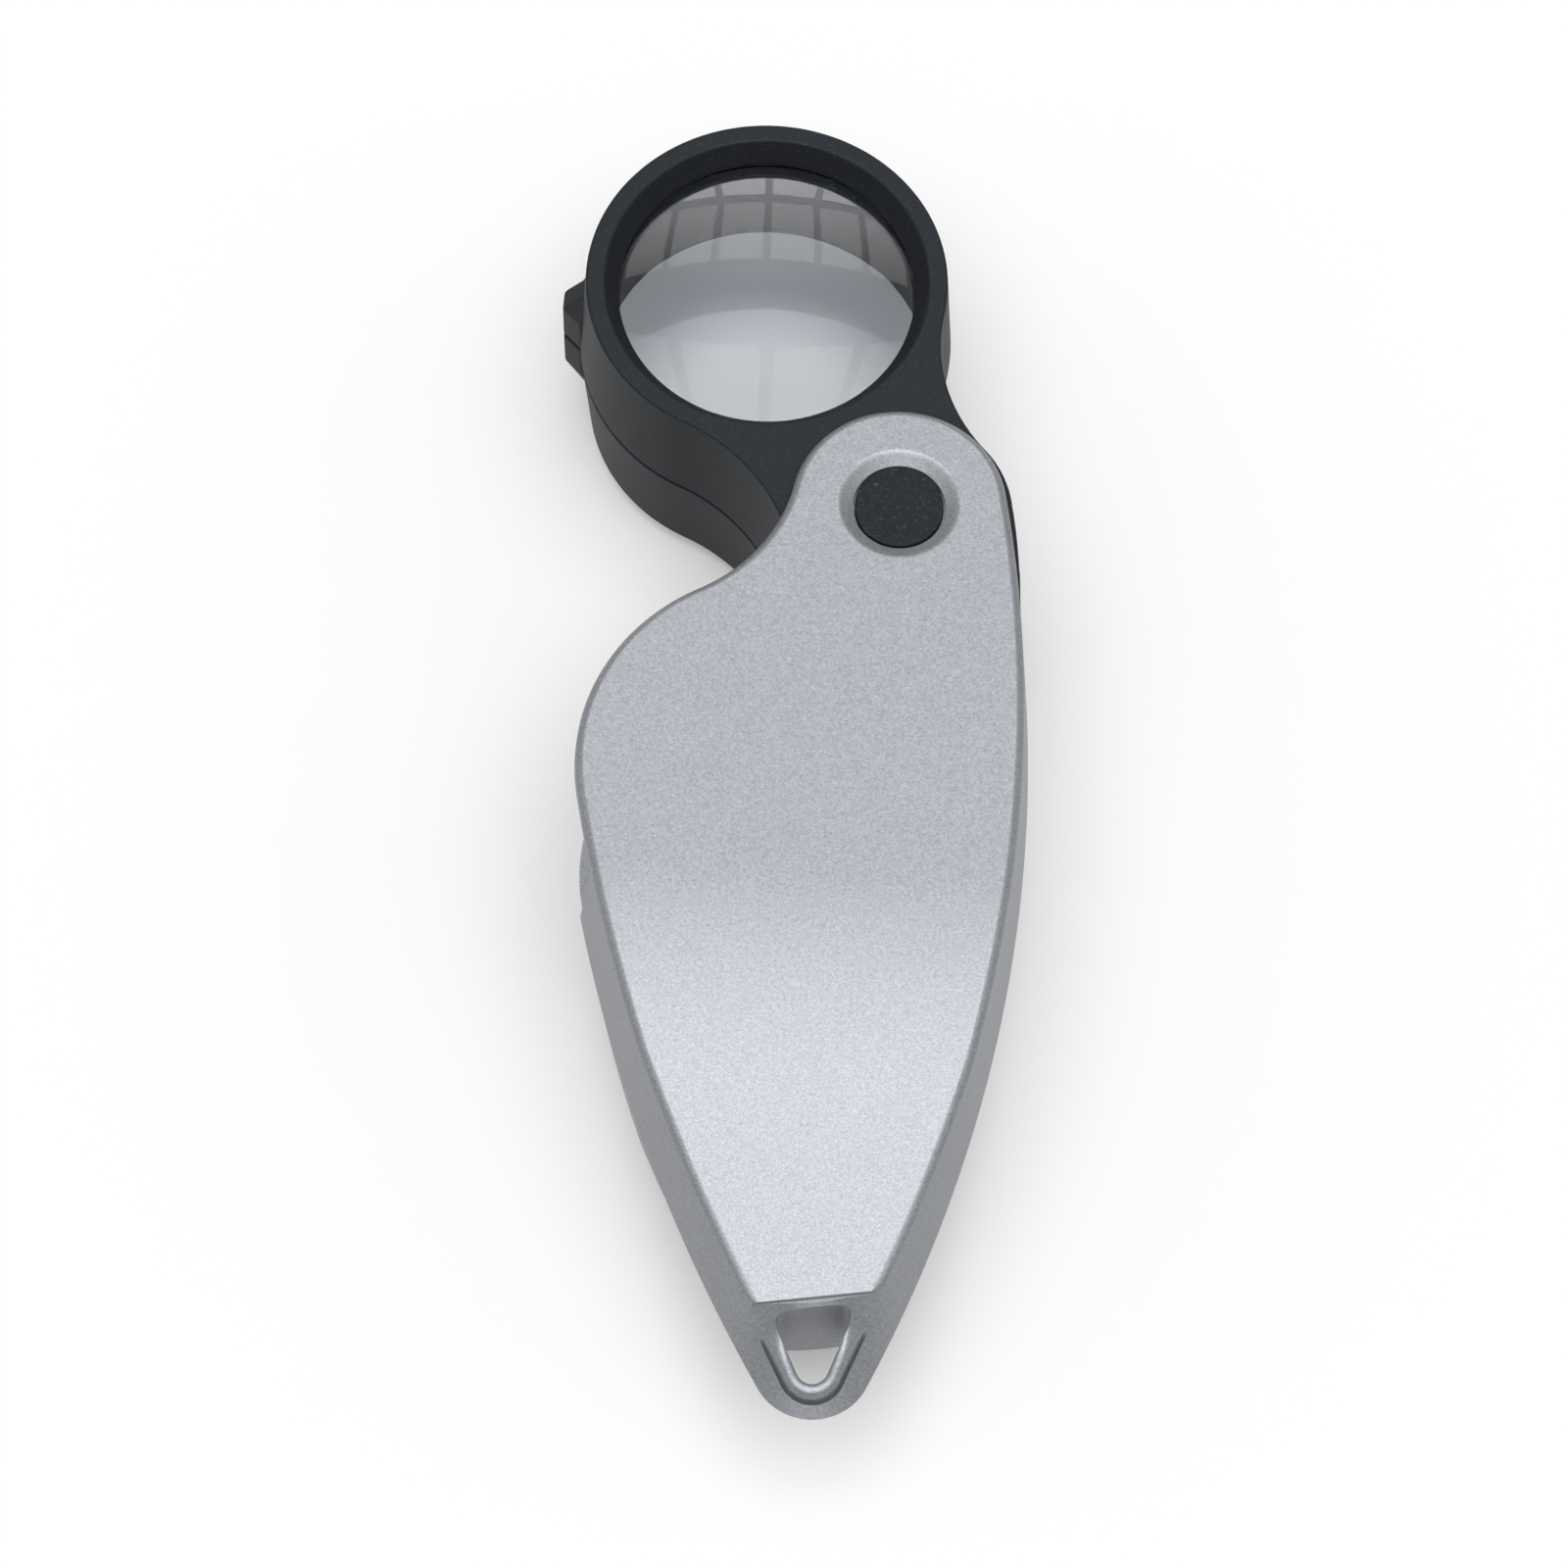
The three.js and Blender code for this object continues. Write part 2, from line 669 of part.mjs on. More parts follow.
// Light path through the head: bevel, lip and the seat that both lenses and the tube share
function lightPath() {
  return turned([
    [0, headBack - overrun], [bevelRadius, headBack - overrun], [bevelRadius, headBack],
    [viewRadius, headBack + bevelDepth], [viewRadius, headBack + lipDepth],
    [seatRadius, headBack + lipDepth], [seatRadius, headFront - lipDepth],
    [viewRadius, headFront - lipDepth], [viewRadius, headFront - bevelDepth],
    [bevelRadius, headFront], [bevelRadius, headFront + overrun], [0, headFront + overrun],
  ], lensSegments, lensCentre.x, lensCentre.y);
}

const hubFloorFront = frontBossEnd - washerThickness - 2 * stackGap;
const hubFloorBack = backBossEnd + washerThickness + springThickness + 3 * stackGap;
const bushInner = sleeveRadius + runningClearance;
const bushOuter = bushInner + bushWall;

function hubCut() {
  const recess = bossRadius + hubRecessClearance;
  const bore = bushOuter + bushFitClearance;
  return disc(recess, hubFloorFront, headFront + overrun, roundSegments)
    .add(disc(recess, headBack - overrun, hubFloorBack, roundSegments))
    .add(disc(bore, headBack, headFront, roundSegments));
}

function headBody() {
  const grip = gripNub().add(gripRibs()).subtract(ring(
    ringRadius - grooveDepth / 2, ringRadius + overrun, middle - grooveWidth * 0.6,
    middle + grooveWidth * 0.6, lensSegments, lensCentre.x, lensCentre.y,
  ));
  return headBlank().add(grip).subtract(lightPath()).subtract(hubCut());
}

// One plano-convex lens, its curved side towards the face at which it sits
const lensBow = (radius) => Math.sqrt(lensCurvature ** 2 - radius ** 2)
  - Math.sqrt(lensCurvature ** 2 - lensRadius ** 2);

function lens(flat, edge) {
  const profile = [[0, flat], [lensRadius, flat], [lensRadius, edge]];
  for (let i = 1; i <= lensRings; i += 1) {
    const radius = lensRadius * (1 - i / lensRings);
    profile.push([radius, edge + lensBow(radius)]);
  }
  return turned(profile, lensSegments, lensCentre.x, lensCentre.y);
}

const lensEdge = headFront - lipDepth - lensAxialClearance;
const lensInside = lensEdge - lensEdgeThickness;
const mirrored = (z) => caseThickness - z;

// Pivot pieces

function pivotScrew() {
  const head = caseThickness - dishDepth - capThickness - capSeatGap - stackGap;
  const neck = head - screwHeadHeight;
  const socket = head - screwSocketDepth;
  const tip = capThickness + capSeatGap + 2 * stackGap;
  return turned([
    [0, tip], [screwShankRadius, tip], [screwShankRadius, neck], [screwHeadRadius, neck],
    [screwHeadRadius, head], [screwSocketRadius, head], [screwSocketRadius, socket], [0, socket],
  ], roundSegments);
}

function pivotNut() {
  const low = capThickness + capSeatGap + stackGap;
  const sides = 6;
  const bore = disc(screwShankRadius + nutBoreClearance, 0, middle, roundSegments);
  return disc(nutRadius, low, low + nutHeight, sides).subtract(bore);
}

function waveSpring(low) {
  const inner = sleeveRadius + washerRimClearance;
  return ring(inner, bossRadius - washerRimClearance, low, low + springThickness, roundSegments);
}

const washer = (low) => ring(
  sleeveRadius + washerRimClearance, bossRadius, low, low + washerThickness, roundSegments,
);

// Finishes

const finish = (color, roughness, metalness) => new THREE.MeshStandardMaterial({
  color, roughness, metalness,
});
const silver = finish(0xb4b7bb, 0.45, 0.55);
const black = finish(0x1c1d20, 0.6, 0);
const steel = finish(0xaeb0b3, 0.3, 1);
const bronze = finish(0x9a7440, 0.4, 0.9);
const nylon = finish(0xe4e1d6, 0.5, 0);
const glass = new THREE.MeshStandardMaterial({
  color: 0xf4f8fa, roughness: 0.02, metalness: 0, transparent: true, opacity: 0.3,
});

const magnifier = new THREE.Group();

function place(group, name, manifold, material) {
  const mesh = new THREE.Mesh(geometryOf(manifold), material);
  mesh.name = name;
  group.add(mesh);
}

const caseGroup = new THREE.Group();
place(caseGroup, 'front_cover', frontCover(), silver);
place(caseGroup, 'back_cover', backCover(), silver);
for (const spot of caseScrewPlaces) place(caseGroup, spot.name, caseScrew(spot), steel);
place(caseGroup, 'pivot_screw', pivotScrew(), steel);
place(caseGroup, 'pivot_nut', pivotNut(), steel);
place(caseGroup, 'pivot_sleeve', ring(
  screwShankRadius + sleeveBoreClearance, sleeveRadius, backBossEnd + stackGap, frontBossEnd - stackGap,
  roundSegments,
), steel);
const frontCapTop = caseThickness - dishDepth;
place(caseGroup, 'front_pivot_cap', disc(
  capRadius, frontCapTop - capThickness, frontCapTop, roundSegments,
), black);
place(caseGroup, 'rear_pivot_cap', disc(capRadius, 0, capThickness, roundSegments), black);
place(caseGroup, 'front_friction_washer', washer(frontBossEnd - stackGap - washerThickness), nylon);
place(caseGroup, 'rear_friction_washer', washer(backBossEnd + stackGap), nylon);
place(caseGroup, 'wave_spring_washer', waveSpring(backBossEnd + washerThickness + 2 * stackGap), steel);
magnifier.add(caseGroup);

const head = headBody();
const headGroup = new THREE.Group();
place(headGroup, 'lens_mount_front', head.intersect(halfSpace(middle + seamGap / 2, caseThickness)), black);
place(headGroup, 'lens_mount_rear', head.intersect(halfSpace(0, middle - seamGap / 2)), black);
place(headGroup, 'front_lens', lens(lensInside, lensEdge), glass);
place(headGroup, 'rear_lens', lens(mirrored(lensEdge), mirrored(lensInside)), glass);
const tubeInner = lensRadius - tubeWall;
place(headGroup, 'lens_spacer_tube', ring(
  tubeInner, lensRadius,
  mirrored(lensInside) + lensBow(tubeInner) + tubeEndClearance, lensInside - tubeEndClearance,
  lensSegments, lensCentre.x, lensCentre.y,
), black);
place(headGroup, 'front_hub_bush', ring(
  bushInner, bushOuter, middle + bushSplit / 2, hubFloorFront - bushGap, roundSegments,
), bronze);
place(headGroup, 'rear_hub_bush', ring(
  bushInner, bushOuter, hubFloorBack + bushGap, middle - bushSplit / 2, roundSegments,
), bronze);
magnifier.add(headGroup);

export default magnifier;
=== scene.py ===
import math
import bpy
import bmesh
import numpy as np
from mathutils import Matrix, Vector
from mathutils.bvhtree import BVHTree


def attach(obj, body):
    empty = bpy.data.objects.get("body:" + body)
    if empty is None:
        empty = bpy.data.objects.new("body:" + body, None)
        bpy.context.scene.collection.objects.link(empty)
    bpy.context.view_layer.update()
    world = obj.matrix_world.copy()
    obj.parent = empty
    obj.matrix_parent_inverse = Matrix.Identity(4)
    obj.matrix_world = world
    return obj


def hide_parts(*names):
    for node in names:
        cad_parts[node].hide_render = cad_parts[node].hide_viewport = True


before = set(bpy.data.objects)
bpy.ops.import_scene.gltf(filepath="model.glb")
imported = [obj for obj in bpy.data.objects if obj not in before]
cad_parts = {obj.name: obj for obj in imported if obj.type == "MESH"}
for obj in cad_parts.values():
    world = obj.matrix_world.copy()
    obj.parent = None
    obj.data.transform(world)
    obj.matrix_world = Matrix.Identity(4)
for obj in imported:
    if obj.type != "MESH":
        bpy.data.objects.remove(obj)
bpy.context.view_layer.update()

MM = 0.001

# ---- case, in millimetres as in the part ----
THICK = 21.4
MID = THICK / 2
SEAM = 0.02
PLATE = 1.2
LOBE_R, BULGE_R, BULGE_C = 8.6, 16.03, (-7.27, -20.72)
WAIST_R, TIP_R, TIP_C = 11.8, 4.25, (-4.4, -61.75)
FLANK_R, SPINE_R = 126.0, 107.5
WALL, HOLLOW_END = 1.95, -56.0
SLOT_R, SLOT_FROM, SLOT_TO, SLOT_MARGIN, SPINE_TOP = 36.2, 225, 250, 5, -5.5

# The rounded edge of the face: how far in and how far down its rows lie, as shares of its width and depth.
DRAFT, EDGE_W, EDGE_D = 0.8, 0.62, 0.55
EDGE_SHAPE = ((0, 1), (0.06, 0.8), (0.2, 0.55), (0.42, 0.3), (0.72, 0.09), (0.9, 0.02), (1, 0))

# The slope towards the tip and the straight end of the face.
SLOPE_START, SLOPE_BEND = -29.0, 20.0
FACE_END, FACE_END_HEIGHT, FACE_SLANT, FACE_ANCHOR = -58.83, 5.09, 0.127, -54.0
SLOPE = (MID - FACE_END_HEIGHT) / (SLOPE_START - SLOPE_BEND / 2 - FACE_END)
TIP_INSET, TIP_INSET_START = 0.7, -43.0
STEP_ENDS, STEP_WIDTH, STEP_DEPTH, STEP_BEVEL, STEP_START = (-8.35, -0.3), 0.24, 0.45, 0.15, 0.02

# The eye, with its raised rim and the crease outside it: a crease has rows of distance and height.
EYE_TOP, EYE_LEN, EYE_W, EYE_R, EYE_SLANT, EYE_CORNER = -59.35, 4.55, 5.9, 1.2, 0.025, 0.7
BEAD_NEAR, BEAD_CREST, BEAD_FAR, BEAD_RISE, BEAD_START, BEAD_FADE = 0.02, 0.68, 0.98, 0.42, 0.14, 2.4
BEAD_SINK, BEAD_ROOT, BEAD_ROWS = 0.02, -0.5, 15
CREASE = ((0.9, 0.02), (1.12, -0.42), (1.26, 0.02))
CREASE_TOP, CREASE_RUSH = 2, 8

# Radius and height above the face of the dish round the front cap, and of the rear cap's seat.
FRONT_SEAT = [(0, -1.5), (3.36, -1.5), (3.36, -0.6), (3.42, -0.56), (3.55, -0.485), (3.75, -0.36),
              (3.95, -0.235), (4.12, -0.13), (4.24, -0.066), (4.34, -0.026), (4.42, -0.006), (4.5, 0.004),
              (4.55, 0.5), (0, 0.5)]
REAR_SEAT = [(0, -1.05), (3.45, -1.05), (3.45, -0.12), (3.48, -0.06), (3.54, -0.015), (3.62, 0.004),
             (3.7, 0.5), (0, 0.5)]
# Radius and height of the caps, which are sunk a little in their seats.
FRONT_CAP = [(0, 20.0), (3.1, 20.0), (3.22, 20.12), (3.22, 20.78), (3.19, 20.85), (3.12, 20.89),
             (3.02, 20.9), (2.0, 20.86), (1.0, 20.83), (0, 20.82)]
REAR_CAP = [(0, 0.0), (3.1, 0.0), (3.22, 0.02), (3.3, 0.1), (3.3, 0.82), (3.22, 0.9), (0, 0.9)]

# The case screws and the cross in their heads.
SCREWS = [("right_case_screw", 3.9, -35.6), ("left_case_screw", -13.5, -39.6),
          ("tip_case_screw", -5.2, -52.6)]
SCREW_SINK, SCREW_HEAD, SCREW_HEAD_R, SCREW_R, SCREW_END = 0.35, 1.2, 1.9, 0.95, MID + 4.5
SCREW_HEAD_EDGE = [(0.18, 0), (0.04, 0.08), (0, 0.2)]
CROSS_REACH, CROSS_HALF, CROSS_DEEP_REACH, CROSS_DEEP_HALF = 1.15, 0.2, 0.62, 0.14
CROSS_DEPTH, CROSS_TURN = 0.6, 20

# Radius and bore of the bosses in the covers, and of the wall and floor of the wells for the screw heads.
FRONT_BOSS, BACK_BOSS, PIVOT_BOSS = (2.3, 1.05), (2.3, 1.2), (5.6, 1.45)
WELL_WALL, WELL_FLOOR = (3.3, 2.1), (3.2, 1.2)
BOSS_CHAMFER, BOSS_BITE, BOSS_GAP = 0.12, PLATE * 0.6, 0.01
FRONT_PIVOT_BOSS_END, BACK_PIVOT_BOSS_END, PIVOT_BOSS_BITE = 17.9, 3.5, 0.1
WELL_R, WELL_MOUTH_R, WELL_MOUTH, WELL_DEPTH, WELL_END = 2.1, 2.3, (-0.4, 0.3), 1.3, 2.3

# ---- lens head, in millimetres as in the part ----
HEAD_GAP = 0.3
HEAD_FRONT = THICK - (PLATE + HEAD_GAP)
ARM, OPEN = 21.58, math.radians(118.1)
LENS_C = (ARM * math.cos(OPEN), ARM * math.sin(OPEN))
RING_R, HUB_R, LEFT_R, RIGHT_R, HEAD_DRAFT, HEAD_RIM = 13.96, 8.85, 14.0, 12.5, 0.75, 0.22
LEVER_LOW, LEVER_TOP, LEVER_SHOULDER = -5.2, 0.4, 3.5
LEVER = [(9.42, LEVER_LOW, 1, -1), (9.36, -4.0, 1, 0), (9.25, -2.6, 1, 0), (9.1, -1.1, 1, 0),
         (8.9, LEVER_TOP, 1, 0.1)]
GROOVE_W, GROOVE_D = 0.35, 0.45
GROOVE_TOP = MID + GROOVE_W / 2
HUB_BORE, HUB_POCKET_R, HUB_FLOOR = 3.74, 6.0, 17.3

# Radius, and height above the head's face, of the bore for the lens and of the bevel round it.
LIGHT_R = 11.52
LIGHT = [(LIGHT_R, -1.87), (11.0, -1.87), (11.0, -1.62), (11.03, -1.55), (11.9, -0.17), (11.98, -0.07),
         (12.08, -0.015), (12.18, 0.004), (12.2, 1), (0, 1)]

# Angle round the ring, and reach outside it, of the stop's rows: at its foot and at its upper end.
NUB = [(170, -2.5, -2.5), (170, 0, -0.75), (174.3, 1.26, -0.75), (180, 1.26, -0.75), (185.5, 0, -0.75),
       (185.5, -2.5, -2.5)]
NUB_EDGE, NUB_TOP, NUB_ROUND = MID + 3.9, MID + 6.4, 0.16
RIBS, RIB_FIRST, RIB_PITCH, RIB_TOP, RIB_END, RIB_HALF = 3, 160.5, 9.2, MID + 6.1, 0.9, 0.6
RIB_RISE, RIB_SINK, RIB_ROOT = 0.42, 0.08, -1.6
LENS_CURVE, LENS_R, LENS_RIM, LENS_CHAMFER, LENS_EDGE = 43.0, 11.4, 0.06, 0.12, 0.08

# ---- meshes ----
OUTLINE_STEP, SLOT_STEP, EYE_STEP, BEAD_STEP = 0.5, 0.8, 0.25, 0.1
CAP_SIDES, SCREW_SIDES, BOSS_SIDES, HUB_SIDES, LENS_SIDES, RING_SIDES = 96, 48, 40, 64, 128, 160
SLICES = np.arange(-28.5, -58.0, -1.5)
BEYOND = 20
SMOOTH_ANGLE = 32
TINY = 1e-6


# ---- outlines ----

def polar(r, deg):
    a = math.radians(deg)
    return r * math.cos(a), r * math.sin(a)


def bearing(a, b):
    return math.degrees(math.atan2(b[1] - a[1], b[0] - a[0]))


def apex(a, b, ra, rb, side):
    """The corner that lies ra from a and rb from b, on the given side."""
    base = math.dist(a, b)
    turn = math.degrees(math.acos((ra * ra + base * base - rb * rb) / (2 * ra * base)))
    x, y = polar(ra, bearing(a, b) + side * turn)
    return a[0] + x, a[1] + y


def after(angle, previous):
    """The same angle within the turn that starts at previous."""
    while angle < previous:
        angle += 360
    while angle >= previous + 360:
        angle -= 360
    return angle


def arc(c, r, a0, a1, step, hollow=False):
    """Rows of x, y and outward normal along an arc."""
    n = max(1, math.ceil(abs(math.radians(a1 - a0)) * r / step))
    rows = []
    for i in range(n + 1):
        nx, ny = polar(1, a0 + (a1 - a0) * i / n)
        s = -1 if hollow else 1
        rows.append((c[0] + r * nx, c[1] + r * ny, s * nx, s * ny))
    return rows


def cleaned(rows, least=0.03):
    """The rows without those that lie nearer than least to the one before."""
    kept = []
    for row in rows:
        if not kept or math.dist(row[:2], kept[-1][:2]) > least:
            kept.append(row)
    if math.dist(kept[0][:2], kept[-1][:2]) < least:
        kept.pop()
    return np.array(kept)


def case_outline(step):
    """Lobe, waist, bulge, flank, tip and spine, anticlockwise."""
    pivot = (0.0, 0.0)
    waist = apex(pivot, BULGE_C, LOBE_R + WAIST_R, BULGE_R + WAIST_R, -1)
    flank = apex(BULGE_C, TIP_C, FLANK_R - BULGE_R, FLANK_R - TIP_R, 1)
    spine = apex(pivot, TIP_C, SPINE_R - LOBE_R, SPINE_R - TIP_R, -1)
    lobe0 = bearing(spine, pivot)
    lobe1 = after(bearing(pivot, waist), lobe0)
    w0 = after(bearing(waist, pivot), 0)
    w1 = w0 - after(w0 - bearing(waist, BULGE_C), 0)
    b0 = bearing(BULGE_C, waist)
    b1 = after(bearing(flank, BULGE_C), b0)
    f1 = after(bearing(flank, TIP_C), b1)
    t1 = after(bearing(spine, TIP_C), f1)
    s1 = after(lobe0, t1)
    return cleaned(
        arc(pivot, LOBE_R, lobe0, lobe1, step)
        + arc(waist, WAIST_R, w0, w1, step, True)
        + arc(BULGE_C, BULGE_R, b0, b1, step)
        + arc(flank, FLANK_R, b1, f1, step * 1.6)
        + arc(TIP_C, TIP_R, f1, t1, step * 0.5)
        + arc(spine, SPINE_R, t1, s1, step * 1.6))


def head_outline(step):
    """Ring, left hollow, hub with its lever, and right hollow, anticlockwise."""
    pivot = (0.0, 0.0)
    left = apex(LENS_C, pivot, RING_R + LEFT_R, HUB_R + LEFT_R, -1)
    right = apex(LENS_C, pivot, RING_R + RIGHT_R, HUB_R + RIGHT_R, 1)
    r0 = bearing(LENS_C, right)
    r1 = after(bearing(LENS_C, left), r0)
    l0 = after(bearing(left, LENS_C), 0)
    l1 = l0 - after(l0 - bearing(left, pivot), 0)
    h0 = after(bearing(pivot, left), 0)
    h1 = 360 + math.degrees(math.asin(LEVER_LOW / HUB_R))
    k0 = math.degrees(math.asin(LEVER_TOP / HUB_R)) + LEVER_SHOULDER
    k1 = after(bearing(pivot, right), k0)
    q0 = after(bearing(right, pivot), 0)
    q1 = q0 - after(q0 - bearing(right, LENS_C), 0)
    return cleaned(
        arc(LENS_C, RING_R, r0, r1, step)
        + arc(left, LEFT_R, l0, l1, step, True)
        + arc(pivot, HUB_R, h0, h1, step)
        + LEVER
        + arc(pivot, HUB_R, k0, k1, step)
        + arc(right, RIGHT_R, q0, q1, step, True))


def drop(y):
    """How far the slope lies below the flat face."""
    past = np.maximum(SLOPE_START - np.asarray(y, float), 0)
    bend = SLOPE * past ** 2 / (2 * SLOPE_BEND)
    return np.where(past < SLOPE_BEND, bend, SLOPE * (past - SLOPE_BEND / 2))


def end_line(x):
    """The straight end of the face."""
    return FACE_END + FACE_SLANT * (x - TIP_C[0])


def moved_in(rows, distance):
    """The outline moved in, more towards the tip."""
    toward = np.clip((TIP_INSET_START - rows[:, 1]) / (TIP_INSET_START - FACE_END), 0, 1)
    depth = distance + TIP_INSET * toward
    return rows[:, :2] - rows[:, 2:] * depth[:, None]


def face_ring(rows, distance):
    """The outline moved in and drawn back to the face's straight end."""
    xy = moved_in(rows, distance)
    anchor = np.array([TIP_C[0], FACE_ANCHOR])
    for i, (x, y) in enumerate(xy):
        if y < end_line(x):
            fall = anchor[1] - y + FACE_SLANT * (x - anchor[0])
            part = (anchor[1] - FACE_END) / fall
            xy[i] = anchor + (xy[i] - anchor) * part
    return xy


def with_corners(rows):
    """Adds the points whose inset lies on the ends of the face's straight end."""
    xy = moved_in(rows, DRAFT + EDGE_W)
    past = end_line(xy[:, 0]) - xy[:, 1]
    out = []
    n = len(rows)
    for i in range(n):
        out.append(rows[i])
        j = (i + 1) % n
        if past[i] * past[j] < 0:
            part = past[i] / (past[i] - past[j])
            out.append(rows[i] + (rows[j] - rows[i]) * part)
    return np.array(out)


# ---- mesh helpers: everything is made in millimetres and scaled once ----

def add_object(name, verts, faces):
    mesh = bpy.data.meshes.new(name)
    mesh.from_pydata([tuple(v) for v in verts], [], [tuple(f) for f in faces])
    mesh.update()
    obj = bpy.data.objects.new(name, mesh)
    bpy.context.scene.collection.objects.link(obj)
    return obj


def skin(rings):
    """Vertices and faces through rings of equal count, lowest first, anticlockwise from above."""
    n = len(rings[0])
    verts = np.vstack(rings)
    faces = []
    for k in range(len(rings) - 1):
        for i in range(n):
            j = (i + 1) % n
            faces.append((k * n + i, k * n + j, (k + 1) * n + j, (k + 1) * n + i))
    faces.append(tuple(range(n - 1, -1, -1)))
    base = (len(rings) - 1) * n
    faces.append(tuple(range(base, base + n)))
    return verts, faces


def with_z(xy, z):
    return np.column_stack([xy, np.full(len(xy), float(z))])


def prism(name, xy, low, high):
    return add_object(name, *skin([with_z(xy, low), with_z(xy, high)]))


def lathe(name, profile, segments, x=0.0, y=0.0):
    """A closed or axis-to-axis profile of radius and height turned about an upright axis."""
    verts, faces, rows = [], [], []
    for r, z in profile:
        if r < TINY:
            rows.append([len(verts)])
            verts.append((x, y, z))
        else:
            rows.append(list(range(len(verts), len(verts) + segments)))
            for i in range(segments):
                a = 2 * math.pi * i / segments
                verts.append((x + r * math.cos(a), y + r * math.sin(a), z))
    for a, b in zip(rows, rows[1:]):
        if len(a) == 1 and len(b) == 1:
            continue
        for i in range(segments):
            j = (i + 1) % segments
            if len(a) == 1:
                faces.append((a[0], b[j], b[i]))
            elif len(b) == 1:
                faces.append((a[i], a[j], b[0]))
            else:
                faces.append((a[i], a[j], b[j], b[i]))
    obj = add_object(name, verts, faces)
    if len(rows[0]) > 1 and profile[0] == profile[-1]:
        bm = bmesh.new()
        bm.from_mesh(obj.data)
        bmesh.ops.remove_doubles(bm, verts=bm.verts, dist=TINY)
        bm.to_mesh(obj.data)
        bm.free()
    outward(obj)
    return obj


def outward(obj):
    bm = bmesh.new()
    bm.from_mesh(obj.data)
    bmesh.ops.recalc_face_normals(bm, faces=bm.faces)
    bm.to_mesh(obj.data)
    bm.free()


def cut(obj, cutter):
    """Takes the cutter out of the object and deletes it."""
    mod = obj.modifiers.new("cut", "BOOLEAN")
    mod.operation = "DIFFERENCE"
    mod.object = cutter
    mod.solver = "EXACT"
    depsgraph = bpy.context.evaluated_depsgraph_get()
    mesh = bpy.data.meshes.new_from_object(obj.evaluated_get(depsgraph))
    obj.modifiers.clear()
    old = obj.data
    obj.data = mesh
    bpy.data.meshes.remove(old)
    data = cutter.data
    bpy.data.objects.remove(cutter)
    bpy.data.meshes.remove(data)
    return obj


def join(obj, *others):
    """Moves the other objects' meshes into the first."""
    bm = bmesh.new()
    bm.from_mesh(obj.data)
    for other in others:
        bm.from_mesh(other.data)
        data = other.data
        bpy.data.objects.remove(other)
        bpy.data.meshes.remove(data)
    bm.to_mesh(obj.data)
    bm.free()
    return obj


def coords(obj):
    co = np.empty(len(obj.data.vertices) * 3)
    obj.data.vertices.foreach_get("co", co)
    return co.reshape(-1, 3)


def set_coords(obj, co):
    obj.data.vertices.foreach_set("co", np.asarray(co, float).ravel())
    obj.data.update()


def slice_along_y(obj, places):
    """Gives long faces rows of vertices, so that they can be bent."""
    bm = bmesh.new()
    bm.from_mesh(obj.data)
    for y in places:
        bmesh.ops.bisect_plane(
            bm, geom=bm.verts[:] + bm.edges[:] + bm.faces[:],
            plane_co=(0, y, 0), plane_no=(0, 1, 0), dist=1e-5)
    bm.to_mesh(obj.data)
    bm.free()


def finish_piece(obj, body, material, node, weighted=True):
    """Scales to metres, shades, gives the material, hangs the piece on its body and hides the CAD node
    that it replaces.
    """
    obj.data.transform(Matrix.Scale(MM, 4))
    bm = bmesh.new()
    bm.from_mesh(obj.data)
    for face in bm.faces:
        face.smooth = True
    limit = math.radians(SMOOTH_ANGLE)
    for edge in bm.edges:
        edge.smooth = len(edge.link_faces) == 2 and edge.calc_face_angle(math.pi) < limit
    bm.to_mesh(obj.data)
    bm.free()
    obj.data.materials.clear()
    obj.data.materials.append(material)
    if weighted:
        mod = obj.modifiers.new("weighted", "WEIGHTED_NORMAL")
        mod.mode = "FACE_AREA"
        mod.weight = 60
        mod.keep_sharp = True
    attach(obj, body)
    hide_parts(node)


# ---- materials ----

COOL = (0.8, 0.9, 1.0, 1)


class Nodes:
    """A short way to write a node tree."""

    def __init__(self, name):
        self.material = bpy.data.materials.new(name)
        self.material.use_nodes = True
        self.tree = self.material.node_tree
        self.shader = self.tree.nodes["Principled BSDF"]
        self.place = self.tree.nodes.new("ShaderNodeTexCoord").outputs["Object"]

    def add(self, kind, **values):
        node = self.tree.nodes.new(kind)
        for key, value in values.items():
            setattr(node, key, value)
        return node

    def link(self, a, b):
        self.tree.links.new(a, b)

    def noise(self, scale, detail, rough):
        node = self.add("ShaderNodeTexNoise")
        node.inputs["Scale"].default_value = scale
        node.inputs["Detail"].default_value = detail
        node.inputs["Roughness"].default_value = rough
        self.link(self.place, node.inputs["Vector"])
        return node.outputs["Fac"]

    def ramp(self, source, stops):
        node = self.add("ShaderNodeValToRGB")
        points = node.color_ramp.elements
        while len(points) < len(stops):
            points.new(0.5)
        for point, (position, colour) in zip(points, stops):
            point.position = position
            point.color = (*colour, 1)
        self.link(source, node.inputs["Fac"])
        return node.outputs["Color"]

    def span(self, source, low, high):
        """The source, which runs from 0 to 1, brought between low and high."""
        node = self.add("ShaderNodeMapRange")
        node.inputs["To Min"].default_value = low
        node.inputs["To Max"].default_value = high
        self.link(source, node.inputs["Value"])
        return node.outputs["Result"]

    def bump(self, source, strength, distance):
        node = self.add("ShaderNodeBump")
        node.inputs["Strength"].default_value = strength
        node.inputs["Distance"].default_value = distance
        self.link(source, node.inputs["Height"])
        return node.outputs["Normal"]


def grey(v, blue=0.0):
    """A grey that leans to blue."""
    return (v, v * (1 + 0.02 * blue), v * (1 + 0.06 * blue))


